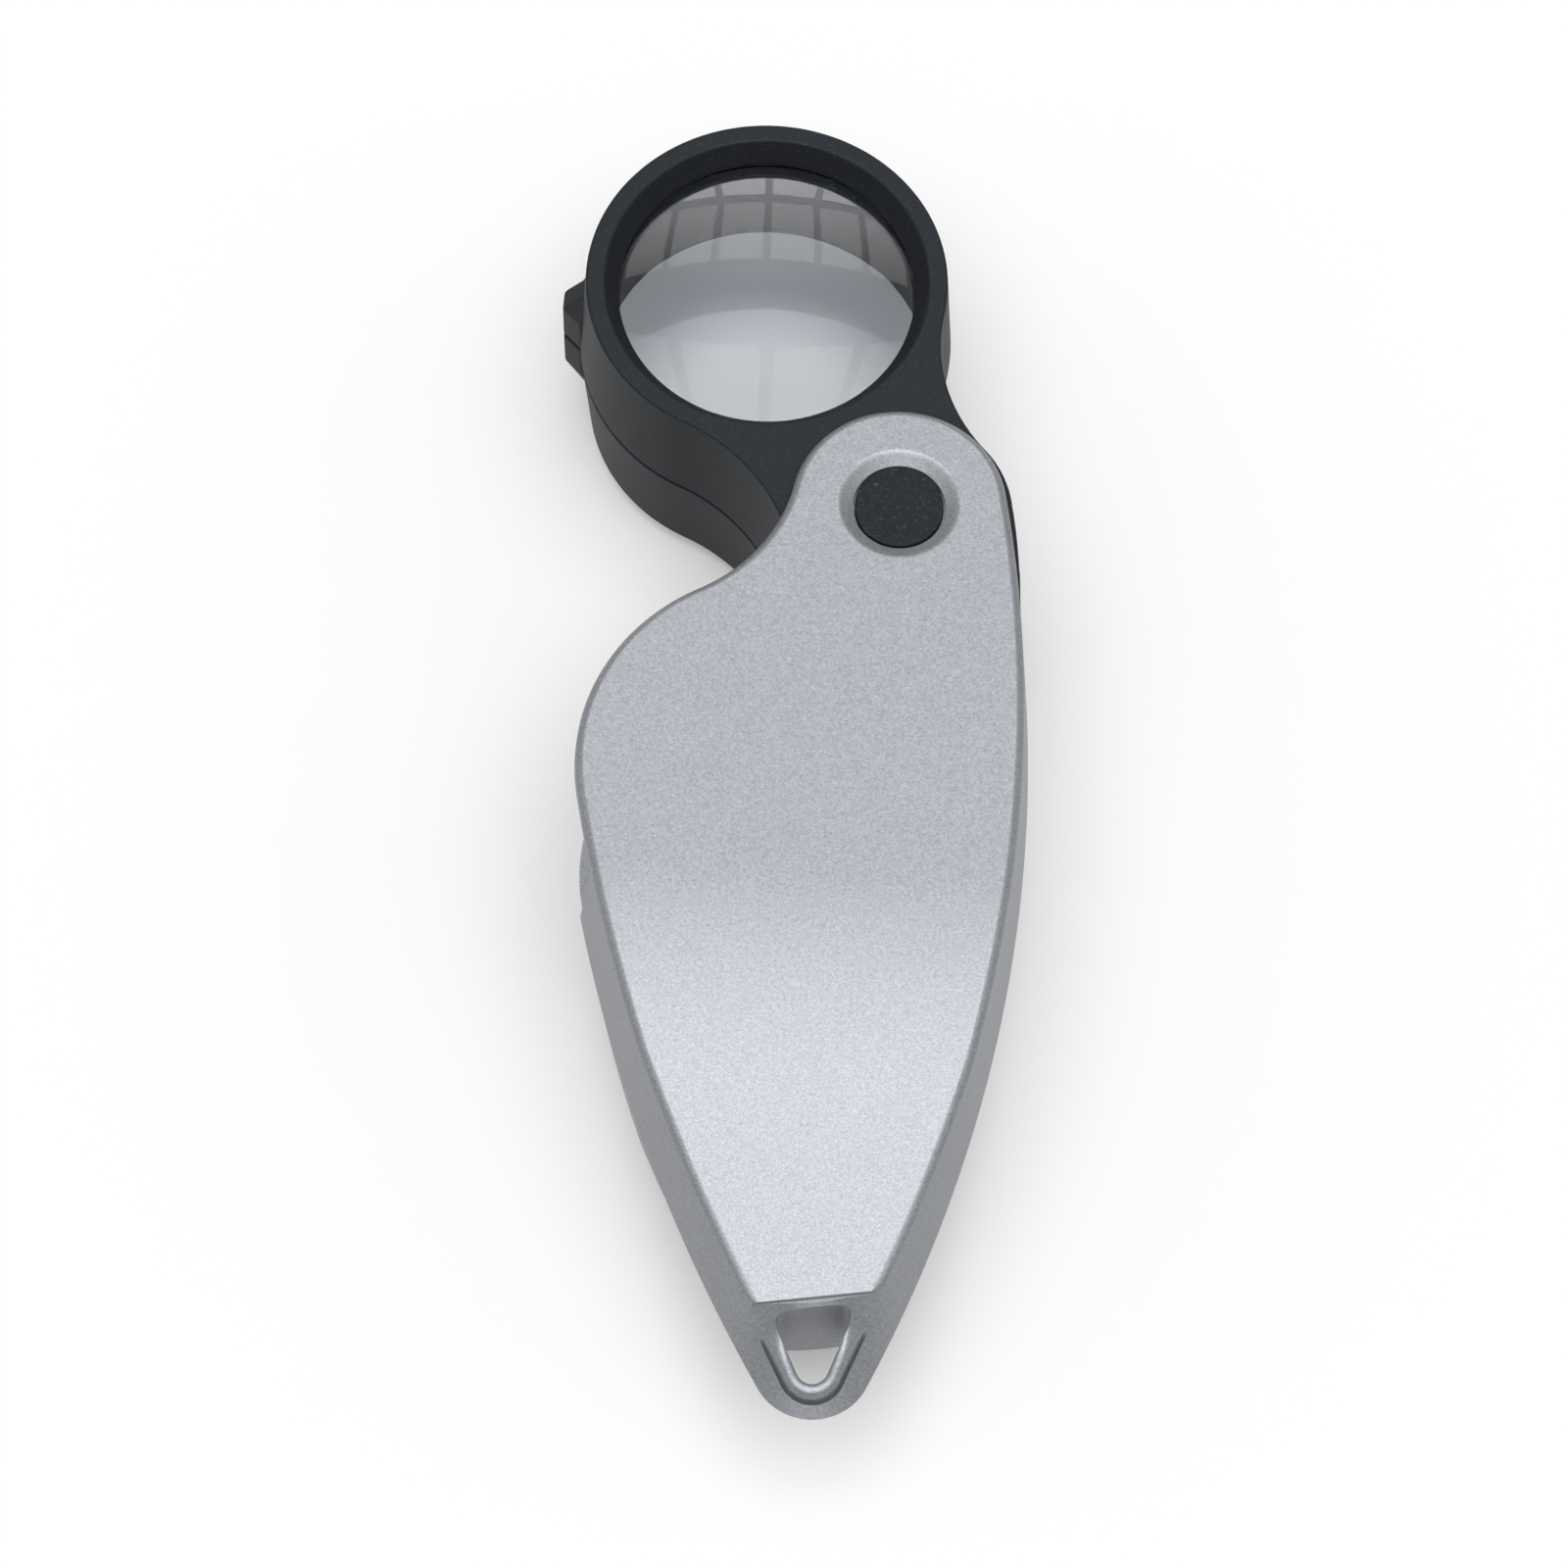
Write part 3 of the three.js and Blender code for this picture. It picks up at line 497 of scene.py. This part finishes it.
def silver_material():
    m = Nodes("silver_case")
    grain = m.noise(7500, 2, 0.6)
    flecks = m.noise(3800, 3, 0.7)
    colour = m.ramp(grain, [(0.25, grey(0.194, 1.8)), (0.5, grey(0.262, 1.8)), (0.75, grey(0.33, 1.8))])
    tone = m.ramp(flecks, [(0.3, grey(0.85)), (0.55, grey(1.0)), (0.72, grey(1.14))])
    mix = m.add("ShaderNodeMix", data_type="RGBA", blend_type="MULTIPLY")
    mix.inputs["Factor"].default_value = 1.0
    m.link(colour, mix.inputs[6])
    m.link(tone, mix.inputs[7])
    m.link(mix.outputs[2], m.shader.inputs["Base Color"])
    m.shader.inputs["Metallic"].default_value = 0.75
    m.link(m.span(flecks, 0.42, 0.56), m.shader.inputs["Roughness"])
    m.link(m.bump(grain, 0.3, 0.00003), m.shader.inputs["Normal"])
    return m.material


def black_material(name, base, rough, scale):
    m = Nodes(name)
    fine = m.noise(scale, 3, 0.65)
    m.link(m.ramp(fine, [(0.3, grey(base * 0.8, 5)), (0.6, grey(base, 5)), (0.74, grey(base * 4, 5))]),
           m.shader.inputs["Base Color"])
    m.shader.inputs["Specular IOR Level"].default_value = 0.2
    m.shader.inputs["Specular Tint"].default_value = COOL
    m.link(m.span(fine, *rough), m.shader.inputs["Roughness"])
    m.link(m.bump(fine, 0.4, 0.00003), m.shader.inputs["Normal"])
    return m.material


def cap_material():
    m = Nodes("cap_moulding")
    coarse = m.noise(3200, 4, 0.75)
    m.link(m.ramp(coarse, [(0.3, grey(0.006, 5)), (0.58, grey(0.011, 5)), (0.74, grey(0.07, 5))]),
           m.shader.inputs["Base Color"])
    m.shader.inputs["Specular IOR Level"].default_value = 0.17
    m.shader.inputs["Specular Tint"].default_value = COOL
    m.link(m.span(coarse, 0.5, 0.7), m.shader.inputs["Roughness"])
    m.link(m.bump(coarse, 0.6, 0.00005), m.shader.inputs["Normal"])
    return m.material


def glass_material():
    m = Nodes("lens_glass")
    # Painted shade: the clear lenses get a grey, slightly blue base colour, so that the floor seen through
    # them comes out darker, standing in for the shade under the head.
    m.shader.inputs["Base Color"].default_value = (0.84, 0.86, 0.89, 1)
    m.shader.inputs["Roughness"].default_value = 0.0
    m.shader.inputs["IOR"].default_value = 1.52
    m.shader.inputs["Transmission Weight"].default_value = 1.0
    faint = m.noise(90, 2, 0.5)
    m.link(m.bump(faint, 0.02, 0.000004), m.shader.inputs["Normal"])
    return m.material


def metal_material(name, colour, rough):
    m = Nodes(name)
    fine = m.noise(900, 3, 0.6)
    low = tuple(c * 0.85 for c in colour)
    m.link(m.ramp(fine, [(0.3, low), (0.7, colour)]), m.shader.inputs["Base Color"])
    m.shader.inputs["Metallic"].default_value = 1.0
    m.link(m.span(fine, rough * 0.8, rough * 1.25), m.shader.inputs["Roughness"])
    m.link(m.bump(fine, 0.15, 0.00003), m.shader.inputs["Normal"])
    return m.material


def nylon_material():
    m = Nodes("nylon")
    fine = m.noise(700, 3, 0.6)
    m.link(m.ramp(fine, [(0.3, (0.66, 0.63, 0.55)), (0.7, (0.76, 0.73, 0.65))]),
           m.shader.inputs["Base Color"])
    m.link(m.span(fine, 0.4, 0.55), m.shader.inputs["Roughness"])
    return m.material


SILVER = silver_material()
BLACK = black_material("black_moulding", 0.0095, (0.45, 0.6), 6500)
CAP = cap_material()
GLASS = glass_material()
STEEL = metal_material("steel", (0.62, 0.62, 0.63), 0.3)
BRONZE = metal_material("bush_metal", (0.66, 0.48, 0.25), 0.35)
NYLON = nylon_material()
TUBE = black_material("tube_black", 0.014, (0.5, 0.6), 1500)

# ---- case covers ----

OUTLINE = with_corners(case_outline(OUTLINE_STEP))


def case_half(name, walls=36):
    """The front half in flat form: its taper comes later."""
    edge = face_ring(OUTLINE, DRAFT)
    rings = []
    for i in range(walls):
        t = i / walls
        xy = OUTLINE[:, :2] * (1 - t) + edge * t
        rings.append(with_z(xy, MID + SEAM / 2 + (MID - SEAM / 2 - EDGE_D) * t))
    for inward, depth in EDGE_SHAPE:
        rings.append(with_z(face_ring(OUTLINE, DRAFT + EDGE_W * inward), THICK - EDGE_D * depth))
    return add_object(name, *skin(rings))


def eye_outline(step):
    """The eye's two far corners and the arc of its near end, anticlockwise."""
    centre = (TIP_C[0] + EYE_SLANT, EYE_TOP - EYE_LEN + EYE_R)
    corner = EYE_W / 2
    rise = EYE_TOP - centre[1]
    turn = math.degrees(math.atan2(corner, rise) - math.asin(EYE_R / math.hypot(corner, rise)))
    rows = [(centre[0] + corner, EYE_TOP + FACE_SLANT * corner),
            (centre[0] - corner, EYE_TOP - FACE_SLANT * corner)]
    return np.array(rows + [row[:2] for row in arc(centre, EYE_R, 180 + turn, 360 - turn, step)])


def rounded_polygon(points, radius, count=5, blunt=math.radians(150)):
    """The polygon with a radius at each corner that is sharper than blunt."""
    pts = [np.array(p, float) for p in points]
    out = []
    n = len(pts)
    for i in range(n):
        p, a, b = pts[i], pts[i - 1], pts[(i + 1) % n]
        u, v = (a - p) / np.linalg.norm(a - p), (b - p) / np.linalg.norm(b - p)
        angle = math.acos(max(-1, min(1, float(u @ v))))
        if angle > blunt:
            out.append(p)
            continue
        reach = radius / math.tan(angle / 2)
        start, end = p + u * reach, p + v * reach
        for k in range(count + 1):
            t = k / count
            out.append((1 - t) ** 2 * start + 2 * t * (1 - t) * p + t * t * end)
    return np.array(out)


def inner_outline():
    """The hollow between the walls."""
    inner = OUTLINE[:, :2] - OUTLINE[:, 2:] * WALL
    return inner[OUTLINE[:, 1] > HOLLOW_END]


def slot_plan():
    """The opening in the walls through which the head swings."""
    far = SLOT_R + SLOT_MARGIN
    end = [row[:2] for row in arc((0, 0), SLOT_R, SLOT_FROM, SLOT_TO, SLOT_STEP)]
    return [(far, SPINE_TOP), (far, far), (-far, far), (-far, end[0][1])] + end + [(0, SPINE_TOP)]


def warp(obj):
    """Brings the flat half down to the taper towards the tip."""
    co = coords(obj)
    y = np.maximum(co[:, 1], end_line(co[:, 0]))
    co[:, 2] = MID + (co[:, 2] - MID) * (1 - drop(y) / MID)
    set_coords(obj, co)


def end_step():
    """The narrow step along the end of the face."""
    left, right = STEP_ENDS
    return np.array([(left, end_line(left) - STEP_START),
                     (left + STEP_BEVEL, end_line(left) - STEP_WIDTH),
                     (right - STEP_BEVEL, end_line(right) - STEP_WIDTH),
                     (right, end_line(right) - STEP_START)])


def eye_sweep(name, half, section, count=20):
    """Sections swept round the near half of the eye, over the ground that lies below each point.

    A section gives rows of distance from the eye and height, for a growth from 0 at the ends to 1."""
    line = eye_outline(BEAD_STEP)
    right_top, left_top, curve = line[0], line[1], line[2:]
    left = [left_top + (curve[0] - left_top) * t for t in np.linspace(BEAD_START, 1, count)[:-1]]
    right = [curve[-1] + (right_top - curve[-1]) * t for t in np.linspace(0, 1 - BEAD_START, count)[1:]]
    path = np.array(left + list(curve) + right)
    along = np.gradient(path, axis=0)
    along /= np.linalg.norm(along, axis=1)[:, None]
    out = np.column_stack([along[:, 1], -along[:, 0]])
    run = np.concatenate([[0], np.cumsum(np.linalg.norm(np.diff(path, axis=0), axis=1))])
    surface = BVHTree.FromPolygons([Vector(v) for v in coords(half)],
                                   [tuple(f.vertices) for f in half.data.polygons])
    rings = []
    for p, n, ends in zip(path, out, np.minimum(run, run[-1] - run)):
        grow = min(1.0, ends / BEAD_FADE)
        ring = []
        for d, height in section(grow * grow * (3 - 2 * grow)):
            x, y = p + n * d
            ground = surface.ray_cast(Vector((x, y, THICK + 5)), Vector((0, 0, -1)))[0]
            ring.append((x, y, (ground.z if ground else MID) + height))
        rings.append(np.array(ring))
    obj = add_object(name, *skin(rings))
    outward(obj)
    return obj


def bead_section(grow):
    """The raised rim: a crest beside the eye that falls away outwards."""
    rows = []
    for d in np.linspace(BEAD_NEAR, BEAD_FAR, BEAD_ROWS):
        if d < BEAD_CREST:
            shape = math.sin(math.pi / 2 * (d - BEAD_NEAR) / (BEAD_CREST - BEAD_NEAR)) ** 0.7
        else:
            shape = math.cos(math.pi / 2 * (d - BEAD_CREST) / (BEAD_FAR - BEAD_CREST))
        rows.append((d, (BEAD_RISE * grow + BEAD_SINK) * shape - BEAD_SINK))
    return rows + [(BEAD_FAR, BEAD_ROOT), (BEAD_NEAR, BEAD_ROOT)]


def crease_section(grow):
    """The crease outside the rim, which soon reaches its full depth."""
    (near, lip), (middle, depth), (far, lip) = CREASE
    return [(near, lip), (middle, lip + (depth - lip) * min(1, grow * CREASE_RUSH)), (far, lip),
            (far, CREASE_TOP), (near, CREASE_TOP)]


def cover(name, seat):
    """A case half in the front's place, and the pieces that are joined to it when it is in its own."""
    half = case_half(name)
    low, high = MID - 1, THICK - PLATE
    half = cut(half, prism("cut_hollow", inner_outline(), low, high))
    half = cut(half, prism("cut_slot", slot_plan(), low, high))
    step_floor = THICK - STEP_DEPTH / (1 - float(drop(FACE_END)) / MID)
    half = cut(half, prism("cut_step", end_step(), step_floor, THICK + BEYOND))
    eye = rounded_polygon(eye_outline(EYE_STEP), EYE_CORNER)
    half = cut(half, prism("cut_eye", eye, low - BEYOND, THICK + BEYOND))
    half = cut(half, lathe("cut_pivot", [(r, THICK + z) for r, z in seat], CAP_SIDES))
    slice_along_y(half, SLICES)
    warp(half)
    extras = [eye_sweep(name + "_bead", half, bead_section)]
    half = cut(half, eye_sweep("cut_crease", half, crease_section))
    return half, extras


def boss(size, low, high, x=0.0, y=0.0):
    radius, bore = size
    return lathe("boss", [(bore, low), (radius - BOSS_CHAMFER, low), (radius, low + BOSS_CHAMFER),
                          (radius, high), (bore, high), (bore, low)], BOSS_SIDES, x, y)


def mirror_z(obj):
    """Turns a front half into a back half."""
    co = coords(obj)
    co[:, 2] = THICK - co[:, 2]
    set_coords(obj, co)
    obj.data.flip_normals()


front, extras = cover("front_case_half", FRONT_SEAT)
for node, x, y in SCREWS:
    extras.append(boss(FRONT_BOSS, MID + BOSS_GAP, THICK - float(drop(y)) - BOSS_BITE, x, y))
extras.append(boss(PIVOT_BOSS, FRONT_PIVOT_BOSS_END, THICK - PLATE + PIVOT_BOSS_BITE))
join(front, *extras)
finish_piece(front, "housing", SILVER, "front_cover")

back, extras = cover("back_case_half", REAR_SEAT)
mirror_z(back)
for piece in extras:
    mirror_z(piece)
for node, x, y in SCREWS:
    face = float(drop(y))
    base = face + SCREW_SINK
    extras.append(boss(BACK_BOSS, base + SCREW_HEAD, MID - BOSS_GAP, x, y))
    extras.append(boss(WELL_WALL, face + BOSS_BITE, base + WELL_END, x, y))
    extras.append(boss(WELL_FLOOR, base + WELL_DEPTH, base + WELL_END, x, y))
    well = [(0, -BEYOND), (WELL_MOUTH_R, -BEYOND), (WELL_MOUTH_R, face + WELL_MOUTH[0]),
            (WELL_R, face + WELL_MOUTH[1]), (WELL_R, base + WELL_DEPTH), (0, base + WELL_DEPTH)]
    back = cut(back, lathe("cut_screw", well, SCREW_SIDES, x, y))
extras.append(boss(PIVOT_BOSS, PLATE - PIVOT_BOSS_BITE, BACK_PIVOT_BOSS_END))
join(back, *extras)
finish_piece(back, "housing", SILVER, "back_cover")

# ---- caps and screws ----

cap = lathe("front_cap_disc", FRONT_CAP, CAP_SIDES)
finish_piece(cap, "housing", CAP, "front_pivot_cap")
cap = lathe("rear_cap_disc", REAR_CAP, CAP_SIDES)
finish_piece(cap, "housing", CAP, "rear_pivot_cap")


def cross_outline(reach, half, x, y):
    """The plus shape of a screw's cross recess."""
    quarter = np.array([(reach, -half), (reach, half), (half, half)])
    rows = []
    for i in range(4):
        a = math.radians(CROSS_TURN + 90 * i)
        rows.append(quarter @ np.array([[math.cos(a), math.sin(a)], [-math.sin(a), math.cos(a)]]))
    return np.vstack(rows) + (x, y)


def screw(name, x, y, node):
    """A screw with a flat head and a cross recess, driven from the back."""
    base = float(drop(y)) + SCREW_SINK
    neck = base + SCREW_HEAD
    profile = [(0, base)] + [(SCREW_HEAD_R - inward, base + up) for inward, up in SCREW_HEAD_EDGE]
    profile += [(SCREW_HEAD_R, neck), (SCREW_R, neck), (SCREW_R, SCREW_END - SCREW_R), (0, SCREW_END)]
    body = lathe(name, profile, SCREW_SIDES, x, y)
    cross = cross_outline(CROSS_REACH, CROSS_HALF, x, y)
    deep = cross_outline(CROSS_DEEP_REACH, CROSS_DEEP_HALF, x, y)
    rings = [with_z(cross, base - 0.3), with_z(cross, base), with_z(deep, base + CROSS_DEPTH)]
    body = cut(body, add_object("cut_cross", *skin(rings)))
    finish_piece(body, "housing", STEEL, node)


for i, (node, x, y) in enumerate(SCREWS):
    screw("cross_screw_%d" % (i + 1), x, y, node)

# ---- lens head ----

HEAD = head_outline(OUTLINE_STEP)


def head_ring(depth, z):
    """The head's outline moved in, at a height."""
    return with_z(HEAD[:, :2] - HEAD[:, 2:] * depth, z)


def head_half(name, walls=6, rounds=5):
    """The front half of the head: groove floor, seam edge, drafted wall, rounded rim and face."""
    foot, top = GROOVE_TOP + 0.07, HEAD_FRONT - HEAD_RIM
    draft = HEAD_DRAFT - HEAD_RIM * 0.9
    rings = [head_ring(GROOVE_D, MID + SEAM / 2), head_ring(GROOVE_D, GROOVE_TOP),
             head_ring(0.06, GROOVE_TOP), head_ring(0.012, GROOVE_TOP + 0.02), head_ring(0.0, foot)]
    for i in range(1, walls + 1):
        t = i / walls
        rings.append(head_ring(draft * t, foot + (top - foot) * t))
    for i in range(1, rounds + 1):
        a = math.pi / 2 * i / rounds
        rings.append(head_ring(draft + HEAD_RIM * (1 - math.cos(a)), top + HEAD_RIM * math.sin(a)))
    return add_object(name, *skin(rings))


def ring_at(reach, angle):
    """The point that lies reach outside the ring."""
    x, y = polar(RING_R + reach, angle)
    return LENS_C[0] + x, LENS_C[1] + y


def soften(obj, width, segments=3, angle=25):
    """Rounds the edges that are sharper than the angle."""
    bm = bmesh.new()
    bm.from_mesh(obj.data)
    bmesh.ops.recalc_face_normals(bm, faces=bm.faces)
    limit = math.radians(angle)
    edges = [e for e in bm.edges if len(e.link_faces) == 2 and e.calc_face_angle(0) > limit]
    bmesh.ops.bevel(bm, geom=edges, offset=width, segments=segments, profile=0.5, affect="EDGES",
                    clamp_overlap=True)
    bm.to_mesh(obj.data)
    bm.free()
    return obj


def half_nub():
    """The stop on the ring's left side, which draws in towards the front."""
    wide = np.array([ring_at(foot, angle) for angle, foot, _ in NUB])
    narrow = np.array([ring_at(end, angle) for angle, _, end in NUB])
    rings = [with_z(wide, GROOVE_TOP), with_z(wide, NUB_EDGE), with_z(narrow, NUB_TOP)]
    return soften(add_object("nub", *skin(rings)), NUB_ROUND)


def half_rib(i, columns=8):
    """One low rib with a rounded crown and a rounded upper end."""
    angle = RIB_FIRST - RIB_PITCH * i
    half = math.degrees(RIB_HALF / RING_R)
    shoulder = RIB_TOP - RIB_END
    levels = [GROOVE_TOP, GROOVE_TOP + 0.1] + list(np.linspace(GROOVE_TOP + 0.5, shoulder, 5))
    levels += [RIB_TOP - 0.6, RIB_TOP - 0.35, RIB_TOP - 0.15, RIB_TOP - 0.04]
    rings = []
    for z in levels:
        surface = -HEAD_DRAFT * (z - MID) / (HEAD_FRONT - MID)
        end = math.sqrt(max(0.0, 1 - max(0, (z - shoulder) / RIB_END) ** 2))
        seam = min(1.0, 0.55 + (z - GROOVE_TOP) * 4.5)
        ring = [ring_at(RIB_ROOT, angle + half), ring_at(RIB_ROOT, angle - half)]
        for k in range(columns + 1):
            t = 1 - 2 * k / columns
            lift = RIB_RISE * math.cos(t * math.pi / 2) ** 0.8 * end * seam if abs(t) < 1 else 0.0
            ring.append(ring_at(surface - RIB_SINK + lift, angle - t * half * (0.45 + 0.55 * end)))
        rings.append(with_z(np.array(ring), z))
    return add_object("rib", *skin(rings))


def mount(name):
    """The front half of the head with its openings, stop and ribs."""
    obj = head_half(name)
    light = [(0, MID - 1), (LIGHT_R, MID - 1)] + [(r, HEAD_FRONT + z) for r, z in LIGHT]
    obj = cut(obj, lathe("cut_light", light, RING_SIDES, *LENS_C))
    hub = [(0, MID - 1), (HUB_BORE, MID - 1), (HUB_BORE, HUB_FLOOR), (HUB_POCKET_R, HUB_FLOOR),
           (HUB_POCKET_R, HEAD_FRONT + 1), (0, HEAD_FRONT + 1)]
    obj = cut(obj, lathe("cut_hub", hub, HUB_SIDES))
    return join(obj, half_nub(), *[half_rib(i) for i in range(RIBS)])


front = mount("front_lens_mount")
finish_piece(front, "lens_head", BLACK, "lens_mount_front")
rear = mount("rear_lens_mount")
mirror_z(rear)
finish_piece(rear, "lens_head", BLACK, "lens_mount_rear")


def lens(name, node, low, edge, rows=20, spokes=6):
    """Flat below, curved above, with a small chamfer on both edges."""
    rim = LENS_R - LENS_RIM
    base = math.sqrt(LENS_CURVE ** 2 - LENS_R ** 2)
    profile = [(LENS_R * k / spokes, low) for k in range(spokes)]
    profile += [(LENS_R - LENS_CHAMFER, low), (LENS_R, low + LENS_CHAMFER), (LENS_R, edge - LENS_EDGE)]
    for k in range(rows):
        r = rim * (1 - k / (rows - 1))
        profile.append((r, edge + math.sqrt(LENS_CURVE ** 2 - r ** 2) - base))
    glass = lathe(name, profile, LENS_SIDES, *LENS_C)
    finish_piece(glass, "lens_head", GLASS, node, weighted=False)


lens("front_element", "front_lens", 15.7, 17.9)
lens("rear_element", "rear_lens", 3.5, 5.7)

# ---- CAD nodes that stay ----

for node, material in (("pivot_screw", STEEL), ("pivot_nut", STEEL), ("pivot_sleeve", STEEL),
                       ("wave_spring_washer", STEEL), ("front_friction_washer", NYLON),
                       ("rear_friction_washer", NYLON), ("lens_spacer_tube", TUBE),
                       ("front_hub_bush", BRONZE), ("rear_hub_bush", BRONZE)):
    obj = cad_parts[node]
    obj.data.materials.clear()
    obj.data.materials.append(material)

# ---- floor, lights and camera, in metres ----

FLOOR_HALF, FLOOR_DROP, FLOOR_TONE, FLOOR_GLOW = 3, 0.00002, 0.51, 0.22
SKY_FADE, SKY_LEVELS, SKY_LEAN = (0.79, 0.96), (0.31, 5.1), -7
PANE_PITCH, PANE_WIDTH, FIRST_PANE, PANES = 0.172, 0.146, -0.6235, 8
SIDE_BOX_X, SIDE_BOX_Z, SIDE_BOX_WIDTH, SIDE_BOX_HEIGHT, SIDE_BOX_LEVEL = 0.75, 0.5, 0.9, 0.55, 0.6
CAMERA_TILT, CAMERA_ROLL, CAMERA_REACH, CAMERA_TARGET = 65.1, -1.92, 399.8, (-7.653, -21.965, 19.9)
SENSOR, FOCAL_PIXELS, PHOTO_PIXELS = 36, 5757, 1600

corners = [(-FLOOR_HALF, -FLOOR_HALF, 0), (FLOOR_HALF, -FLOOR_HALF, 0),
           (FLOOR_HALF, FLOOR_HALF, 0), (-FLOOR_HALF, FLOOR_HALF, 0)]
floor = add_object("floor", corners, [(0, 1, 2, 3)])
floor.location.z = -FLOOR_DROP
paint = Nodes("floor_paint")
paint.shader.inputs["Base Color"].default_value = (FLOOR_TONE, FLOOR_TONE, FLOOR_TONE, 1)
paint.shader.inputs["Roughness"].default_value = 0.9
paint.shader.inputs["Emission Color"].default_value = (1, 1, 1, 1)
path = paint.add("ShaderNodeLightPath")
seen = paint.add("ShaderNodeMath", operation="ADD", use_clamp=True)
also = paint.add("ShaderNodeMath", operation="ADD", use_clamp=True)
paint.link(path.outputs["Is Camera Ray"], seen.inputs[0])
paint.link(path.outputs["Is Glossy Ray"], seen.inputs[1])
paint.link(seen.outputs["Value"], also.inputs[0])
paint.link(path.outputs["Is Transmission Ray"], also.inputs[1])
paint.link(paint.span(also.outputs["Value"], 0.0, FLOOR_GLOW), paint.shader.inputs["Emission Strength"])
floor.data.materials.append(paint.material)

scene = bpy.context.scene
world = bpy.data.worlds.new("studio")
scene.world = world
world.use_nodes = True
tree = world.node_tree
sky = tree.nodes["Background"]
above = tree.nodes.new("ShaderNodeSeparateXYZ")
fade = tree.nodes.new("ShaderNodeMapRange")
fade.interpolation_type = "SMOOTHSTEP"
fade.inputs["From Min"].default_value, fade.inputs["From Max"].default_value = SKY_FADE
fade.inputs["To Min"].default_value, fade.inputs["To Max"].default_value = SKY_LEVELS
lean = tree.nodes.new("ShaderNodeVectorRotate")
lean.rotation_type = "X_AXIS"
lean.inputs["Angle"].default_value = math.radians(SKY_LEAN)
tree.links.new(tree.nodes.new("ShaderNodeTexCoord").outputs["Generated"], lean.inputs["Vector"])
tree.links.new(lean.outputs["Vector"], above.inputs["Vector"])
tree.links.new(above.outputs["Z"], fade.inputs["Value"])
tree.links.new(fade.outputs["Result"], sky.inputs["Strength"])
sky.inputs["Color"].default_value = (1, 1, 1, 1)


def softbox(name, centre, target, width, height, level):
    """A rectangle of light that shows the level in a mirror."""
    data = bpy.data.lights.new(name, "AREA")
    data.shape = "RECTANGLE"
    data.size, data.size_y, data.energy = width, height, math.pi * width * height * level
    obj = bpy.data.objects.new(name, data)
    scene.collection.objects.link(obj)
    obj.location = centre
    obj.rotation_mode = "QUATERNION"
    obj.rotation_quaternion = (Vector(target) - Vector(centre)).to_track_quat("-Z", "Y")
    return obj


for i in range(PANES):
    x = FIRST_PANE + PANE_PITCH * i
    for name, centre, target, depth, level in (
            ("upright_pane", (x, 1.0, 0.655), (x, 0.0, 0.655), 0.22, 2.6),
            ("roof_pane", (x, 0.81, 0.84), (x, 0.78, 0.6), 0.36, 1.3)):
        pane = softbox("%s_%d" % (name, i), centre, target, PANE_WIDTH, depth, level)
        pane.visible_diffuse = False

for side in (-1, 1):
    softbox("side_box", (SIDE_BOX_X * side, 0, SIDE_BOX_Z), (0, 0, 0.01), SIDE_BOX_WIDTH, SIDE_BOX_HEIGHT,
            SIDE_BOX_LEVEL)

camera = bpy.data.cameras.new("camera")
camera_object = bpy.data.objects.new("camera", camera)
scene.collection.objects.link(camera_object)
scene.camera = camera_object
tilt, roll = math.radians(CAMERA_TILT), math.radians(CAMERA_ROLL)
ahead = Vector((0, math.cos(tilt), -math.sin(tilt)))
right = Vector((1, 0, 0))
up = right.cross(ahead)
across = right * math.cos(roll) - up * math.sin(roll)
upward = right * math.sin(roll) + up * math.cos(roll)
pose = Matrix((across, upward, -ahead)).transposed().to_4x4()
pose.translation = (Vector(CAMERA_TARGET) - ahead * CAMERA_REACH) * MM
camera_object.matrix_world = pose
camera.sensor_width = SENSOR
camera.lens = SENSOR * FOCAL_PIXELS / PHOTO_PIXELS
camera.clip_start, camera.clip_end = 0.01, 20

scene.view_settings.view_transform = "Standard"
